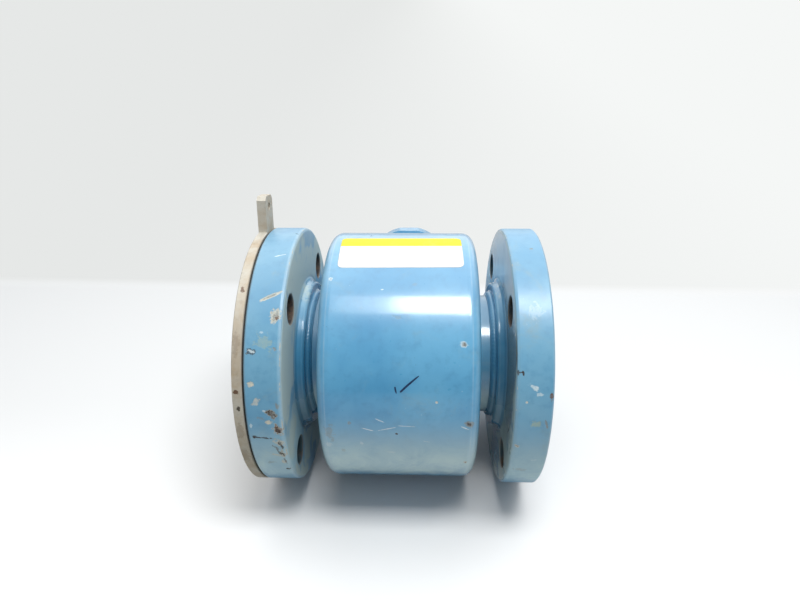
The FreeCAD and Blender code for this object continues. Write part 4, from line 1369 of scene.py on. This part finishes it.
    def film_finish(self) -> bpy.types.Material:
        """White film with a yellow band along its upper edge, a little soiled.

        Returns:
            The finished material.
        """
        graph = Graph("label_film_printed")
        split = math.radians(self.band_turn)
        lean = math.tan(math.radians(self.label_lean)) / PLAN.housing_radius
        band = (graph.turn() - graph.x * lean).rise(split - 0.002, split + 0.002)
        soil = graph.noise(60.0, 5.0, 0.7)
        colour = graph.mix(band, self.label_white, self.label_yellow)
        colour = graph.mix(soil.rise(0.5, 0.85) * 0.3, colour, self.label_soil)
        graph.relief((soil, 0.02 * MM))
        return graph.surface(colour, soil * 0.15 + 0.4, Specular_IOR_Level=0.25)

    def tick(self) -> None:
        """Pen tick on the front: a short stroke and a long one that thins out upwards."""
        ink = self.ink()
        short = np.array([[-1.9, 22.2], [-1.5, 20.8], [-0.9, 19.4]])
        long = np.array([[1.2, 19.9], [4.9, 22.1], [8.7, 24.4], [13.2, 26.7]])
        self.stroke("tick_short_stroke", short, 0.8 * self.pen_width, ink)
        self.stroke("tick_long_stroke", long, self.pen_width, ink)

    def stroke(self, name: str, course: np.ndarray, width: float,
               ink: bpy.types.Material) -> bpy.types.Object:
        """One pen stroke as a very flat lens along a curve.

        The course is fitted by a polynomial of degree 2 in its own length. Across it, the section
        is a flat ellipse whose half width follows a blunt start and a long thin end.

        Args:
            name: name of the piece.
            course: millimetres along the flow and degrees of turn, point by point.
            width: full width of the pen.
            ink: material of the ink.

        Returns:
            The stroke.
        """
        along = course[:, 0] * MM
        around = np.radians(course[:, 1]) * PLAN.housing_radius
        gone = walked(along, around)
        share = gone / gone[-1]
        t = np.linspace(0.0, 1.0, 48)
        u = np.polyval(np.polyfit(share, along, 2), t)
        v = np.polyval(np.polyfit(share, around, 2), t)
        du, dv = np.gradient(u), np.gradient(v)
        norm = np.hypot(du, dv)
        fullness = np.sqrt(np.clip(t / 0.06, 0, 1)) * np.clip((1 - t) / 0.5, 0, 1) ** 0.3
        angle = full_turn(16)
        side = width / 2 * fullness[:, None] * np.cos(angle)[None, :]
        lift = self.ink_height * fullness[:, None] * np.sin(angle)[None, :]
        out_u = u[:, None] - (dv / norm)[:, None] * side
        out_v = v[:, None] + (du / norm)[:, None] * side
        points = on_round(out_u, out_v / PLAN.housing_radius, PLAN.housing_radius + lift)
        return surface_piece(name, points, ink)

    def ink(self) -> bpy.types.Material:
        """Dark blue ink, streaky.

        Returns:
            The finished material.
        """
        graph = Graph("pen_ink_navy")
        streak = graph.noise(900.0, 3.0)
        colour = graph.mix(streak.rise(0.3, 0.8), self.ink_dark, self.ink_thin)
        return graph.surface(colour, streak * 0.2 + 0.3)


@dataclass
class Measuring:
    """What sits between tube and housing: electrodes, magnet and leads."""

    pieces: BulkRows = (
        (Bulk.TURNED_STEEL, ("electrode_upper", "electrode_lower")),
        (Bulk.PALE_MOULDING, ("electrode_bushes",)),
        (Bulk.SPRING_STEEL, ("electrode_springs",)),
        (Bulk.ZINC, ("electrode_nuts", "yoke_screws")),
        (Bulk.CORE_IRON, ("pole_piece_neck_side", "pole_piece_far_side", "return_yoke")),
        (Bulk.BLACK_MOULDING, ("coil_former_neck_side", "coil_former_far_side")),
        (Bulk.COPPER, ("coil_neck_side", "coil_far_side")),
        (Bulk.WIRE, ("electrode_leads", "coil_leads")),
    )

    def build(self) -> None:
        """Finishes every inner piece."""
        dress_in_bulk(self.pieces)


@dataclass
class TerminalHead:
    """Neck, terminal box, cover and what they hold."""

    conduit_at: float = 198.0 * MM
    conduit_radius: float = 9.9 * MM
    conduit_span: tuple[float, float] = (37.0 * MM, 56.8 * MM)
    thread_pitch: float = 1.814 * MM
    thread_depth: float = 0.7 * MM
    thread_wall: float = 0.5 * MM
    neck_radius: float = 21.0 * MM
    weld_gap: float = 1.0 * MM
    weld_thick: float = 2.2 * MM
    pieces: BulkRows = (
        (Bulk.RUBBER, ("neck_gasket", "cover_gasket")),
        (Bulk.ZINC, ("neck_screws", "cover_screws", "terminal_screws", "earth_screw")),
        (Bulk.RESIN, ("lead_seal",)),
        (Bulk.PALE_MOULDING, ("terminal_block",)),
    )

    def build(self) -> None:
        """Paints the head, finishes its small pieces, and adds the threads and the neck's weld."""
        paint = Enamel("head_enamel", roughness=0.38, peel_depth=0.09 * MM).material()
        for node in ("neck", "terminal_box", "terminal_cover"):
            dress(node, paint)
        dress_in_bulk(self.pieces)
        casting = Bulk.BARE_CASTING.material()
        for name, side in (("inlet", -1), ("outlet", 1)):
            self.thread(name + "_conduit_thread", side, casting)
        self.neck_weld(paint)

    def thread(self, name: str, side: int, finish: bpy.types.Material) -> bpy.types.Object:
        """Internal thread of one cable entry.

        A sleeve in the wall of the entry: its inner radius is the bore less a triangle wave of the
        length in pitches plus the share of a full turn, which makes one continuous ridge.

        Args:
            name: name of the piece.
            side: 1 or -1, the end along the flow.
            finish: its material.

        Returns:
            The sleeve.
        """
        start, end = self.conduit_span
        length = np.linspace(start, end, 8 * round((end - start) / self.thread_pitch) + 1)
        around = full_turn(48)
        phase = length[:, None] / self.thread_pitch + side * around[None, :] / (2 * math.pi)
        ridge = 1.0 - np.abs(2.0 * (phase % 1.0) - 1.0)
        fade = np.clip((end - length) / (2 * self.thread_pitch), 0.0, 1.0)[:, None]
        inner = self.conduit_radius - self.thread_depth * ridge * fade
        outer = np.full((2, around.size), self.conduit_radius + self.thread_wall)
        radius = np.concatenate([inner, outer])
        along = np.concatenate([length, [end, start]])
        points = PLAN.on_head(side * along[:, None] + 0.0 * radius,
                              self.conduit_at + radius * np.cos(around), radius * np.sin(around))
        return surface_piece(name, points, finish, wrap_rows=True)

    def neck_weld(self, finish: bpy.types.Material) -> bpy.types.Object:
        """Weld where the neck meets the housing.

        The path is the neck's circle, a little wider, carried out along the head's axis to the
        round of the housing; the crown faces halfway between neck and housing.

        Args:
            finish: its material.

        Returns:
            The bead.
        """
        angle = full_turn(NECK_PATH_POINTS)
        wide = self.neck_radius + self.weld_gap
        along, side = wide * np.cos(angle), wide * np.sin(angle)
        radius = PLAN.housing_radius + self.weld_gap
        out = np.sqrt(radius ** 2 - side ** 2)
        path = PLAN.on_head(along, out, side)
        crown = PLAN.on_head(np.cos(angle), out / radius, np.sin(angle) + side / radius)
        crown /= np.linalg.norm(crown, axis=1, keepdims=True)
        return Weld("neck_weld", self.weld_thick).lay(path, crown, finish)


# ---- Studio -------------------------------------------------------------------------------------

@dataclass(frozen=True)
class Softbox:
    """A rectangular lamp that faces the meter."""

    name: str
    centre: tuple[float, float, float]
    size: tuple[float, float]
    power: float

    def build(self) -> None:
        """Hangs the lamp."""
        lamp = bpy.data.lights.new(self.name, "AREA")
        lamp.shape = "RECTANGLE"
        lamp.size, lamp.size_y = self.size
        lamp.energy = self.power
        holder = add_object(self.name, lamp)
        holder.location = self.centre
        back = Vector(self.centre).normalized()
        right = Vector((1.0, 0.0, 0.0))
        right = (right - back * right.dot(back)).normalized()
        holder.rotation_euler = Matrix((right, back.cross(right), back)).transposed().to_euler()


@dataclass
class Studio:
    """Floor, backdrop, lamps and camera.

    One softbox is bright and hangs above to the right; the other is small and dim, beside it.
    Angles are in degrees.
    """

    camera_distance: float = 448.9 * MM
    camera_side: float = 13.25 * MM
    camera_height_angle: float = 35.94
    tilt_up: float = 5.129
    turn_left: float = 1.996
    roll: float = 0.645
    lens_mm: float = 25.89
    sensor_mm: float = 36.0
    floor_half: float = 9.0
    table_depth: float = 0.253
    table_fade: float = 0.032
    table_lean: float = 0.012
    lit_radius: float = 0.62
    # Painted light on the table and on the paper and backdrop beyond it: spans over which they grow
    # paler.
    painted_light_near_span: tuple[float, float] = (0.06, -0.26)
    painted_light_rightward_span: tuple[float, float] = (-0.5, 0.7)
    table_far: Colour = (0.72, 0.728, 0.727, 1.0)
    table_near: Colour = (0.96, 0.965, 0.965, 1.0)
    table_bounce: Colour = (0.54, 0.55, 0.55, 1.0)
    paper: tuple[Colour, Colour] = (tint(246, 248, 248), tint(255, 255, 255))
    backdrop: tuple[Colour, Colour] = (tint(230, 232, 231), tint(245, 247, 246))
    room_light: Colour = (0.97, 0.985, 1.0, 1.0)
    room_seen: Colour = tint(236, 238, 237)
    sky_low: float = 0.09
    sky_rise: float = 0.48
    glow: float = 1.2
    glow_span: tuple[float, float] = (0.45, 0.8)
    glow_towards: tuple[float, float] = (0.8, 0.6)
    softboxes: tuple[Softbox, ...] = (
        Softbox("softbox_right", (0.19, -0.24, 0.97), (0.48, 0.28), 7.8),
        Softbox("softbox_left", (-0.10, -0.24, 0.97), (0.14, 0.28), 0.35),
    )

    def build(self) -> None:
        """Sets up the floor, the room's light, the softboxes and the camera."""
        bpy.context.scene.view_settings.view_transform = "Standard"
        self.floor()
        self.world()
        for softbox in self.softboxes:
            softbox.build()
        self.camera()

    def floor(self) -> None:
        """One wide sheet under the meter, which is table, paper and backdrop in one."""
        half = self.floor_half
        level = CAD_BOUNDS[0][2]
        mesh = bpy.data.meshes.new("floor")
        corners = [(x * half, y * half, level) for x, y in ((-1, -1), (1, -1), (1, 1), (-1, 1))]
        mesh.from_pydata(corners, [], [(0, 1, 2, 3)])
        mesh.materials.append(self.floor_finish())
        floor = add_object("floor", mesh)

    def floor_finish(self) -> bpy.types.Material:
        """White table that takes shadows; beyond it the camera sees paper and backdrop with light
        painted on them, brighter to the right.

        The camera sees a table painted paler near the front, as painted light where the lamps give
        less. Every other ray finds a greyer one, so that less light comes back up to the underside of
        the meter.

        Returns:
            The finished material.
        """
        graph = Graph("floor_white")
        seen = Field(graph, graph.add("ShaderNodeLightPath").outputs["Is Camera Ray"])
        depth = graph.y + graph.x * self.table_lean
        beyond = depth.rise(self.table_depth, self.table_depth + self.table_fade)
        away = graph.x.hypotenuse(graph.y).rise(self.lit_radius, self.lit_radius * 2)
        # Painted light: paper and backdrop grow brighter to the right.
        painted_light_rightward = graph.x.rise(*self.painted_light_rightward_span)
        near = graph.mix(painted_light_rightward, *self.paper)
        far = graph.mix(painted_light_rightward, *self.backdrop)
        even = graph.add("ShaderNodeEmission")
        graph.feed(even.inputs["Color"], graph.mix(beyond, near, far))
        # Painted light: the table the camera sees grows paler towards the front.
        table_painted_light = graph.mix(graph.y.rise(*self.painted_light_near_span), self.table_far, self.table_near)
        paint = graph.mix(seen, self.table_bounce, table_painted_light)
        finish = graph.surface(paint, 0.7, Specular_IOR_Level=0.2)
        graph.blend(beyond.highest(away) * seen, graph.shader, even, graph.output)
        return finish

    def world(self) -> None:
        """Room light, dim from the front and bright from above and behind.

        The light grows with height, and once more over the part of the sky that leans to the back.
        The camera sees the pale backdrop in its place.
        """
        world = bpy.data.worlds.new("room")
        bpy.context.scene.world = world
        world.use_nodes = True
        wiring = Wiring(world.node_tree)
        _, back, height = wiring.split(wiring.add("ShaderNodeTexCoord").outputs["Generated"])
        towards_back, towards_top = self.glow_towards
        glow = (back * towards_back + height * towards_top).rise(*self.glow_span)
        light = wiring.add("ShaderNodeBackground")
        light.inputs["Color"].default_value = self.room_light
        strength = height.highest(0.0) * self.sky_rise + glow * self.glow + self.sky_low
        wiring.feed(light.inputs["Strength"], strength)
        pale = wiring.add("ShaderNodeBackground")
        pale.inputs["Color"].default_value = self.room_seen
        path = wiring.add("ShaderNodeLightPath").outputs
        seen = Field(wiring, path["Is Camera Ray"]).highest(Field(wiring, path["Is Transmission Ray"]))
        wiring.blend(seen, light, pale, wiring.add("ShaderNodeOutputWorld"))

    def camera(self) -> None:
        """Camera at the front, above the axis.

        Its place is a point at a fixed distance from the flow axis. It first looks level at the
        axis, is then raised, turned and rolled by small angles, and last the whole view is
        swung about the flow axis by the height angle.
        """
        tilt, left, roll = (math.radians(a) for a in (self.tilt_up, self.turn_left, self.roll))
        level = Vector((-math.sin(left), math.cos(left), 0.0))
        ahead = level * math.cos(tilt) + Vector((0.0, 0.0, math.sin(tilt)))
        right = Vector((math.cos(left), math.sin(left), 0.0))
        above = right.cross(ahead)
        rolled_right = right * math.cos(roll) + above * math.sin(roll)
        rolled_above = above * math.cos(roll) - right * math.sin(roll)
        swing = Matrix.Rotation(-math.radians(self.camera_height_angle), 4, "X")
        pose = Matrix((rolled_right, rolled_above, -ahead)).transposed().to_4x4()
        pose.translation = Vector((self.camera_side, -self.camera_distance, 0.0))
        data = bpy.data.cameras.new("portrait")
        data.lens = self.lens_mm
        data.sensor_width = self.sensor_mm
        data.clip_start = 0.01
        camera = add_object("portrait", data)
        camera.matrix_world = swing @ pose
        bpy.context.scene.camera = camera


def main() -> None:
    """Builds every sub-assembly and the studio, in order."""
    logging.basicConfig(level=logging.INFO, format="%(name)s: %(message)s")
    builders: tuple[Callable[[], None], ...] = (
        Flanges().build, Spool().build, GroundingRing().build, Housing().build,
        Measuring().build, TerminalHead().build, Studio().build,
    )
    for build in builders:
        build()


if __name__ == "__main__":
    main()
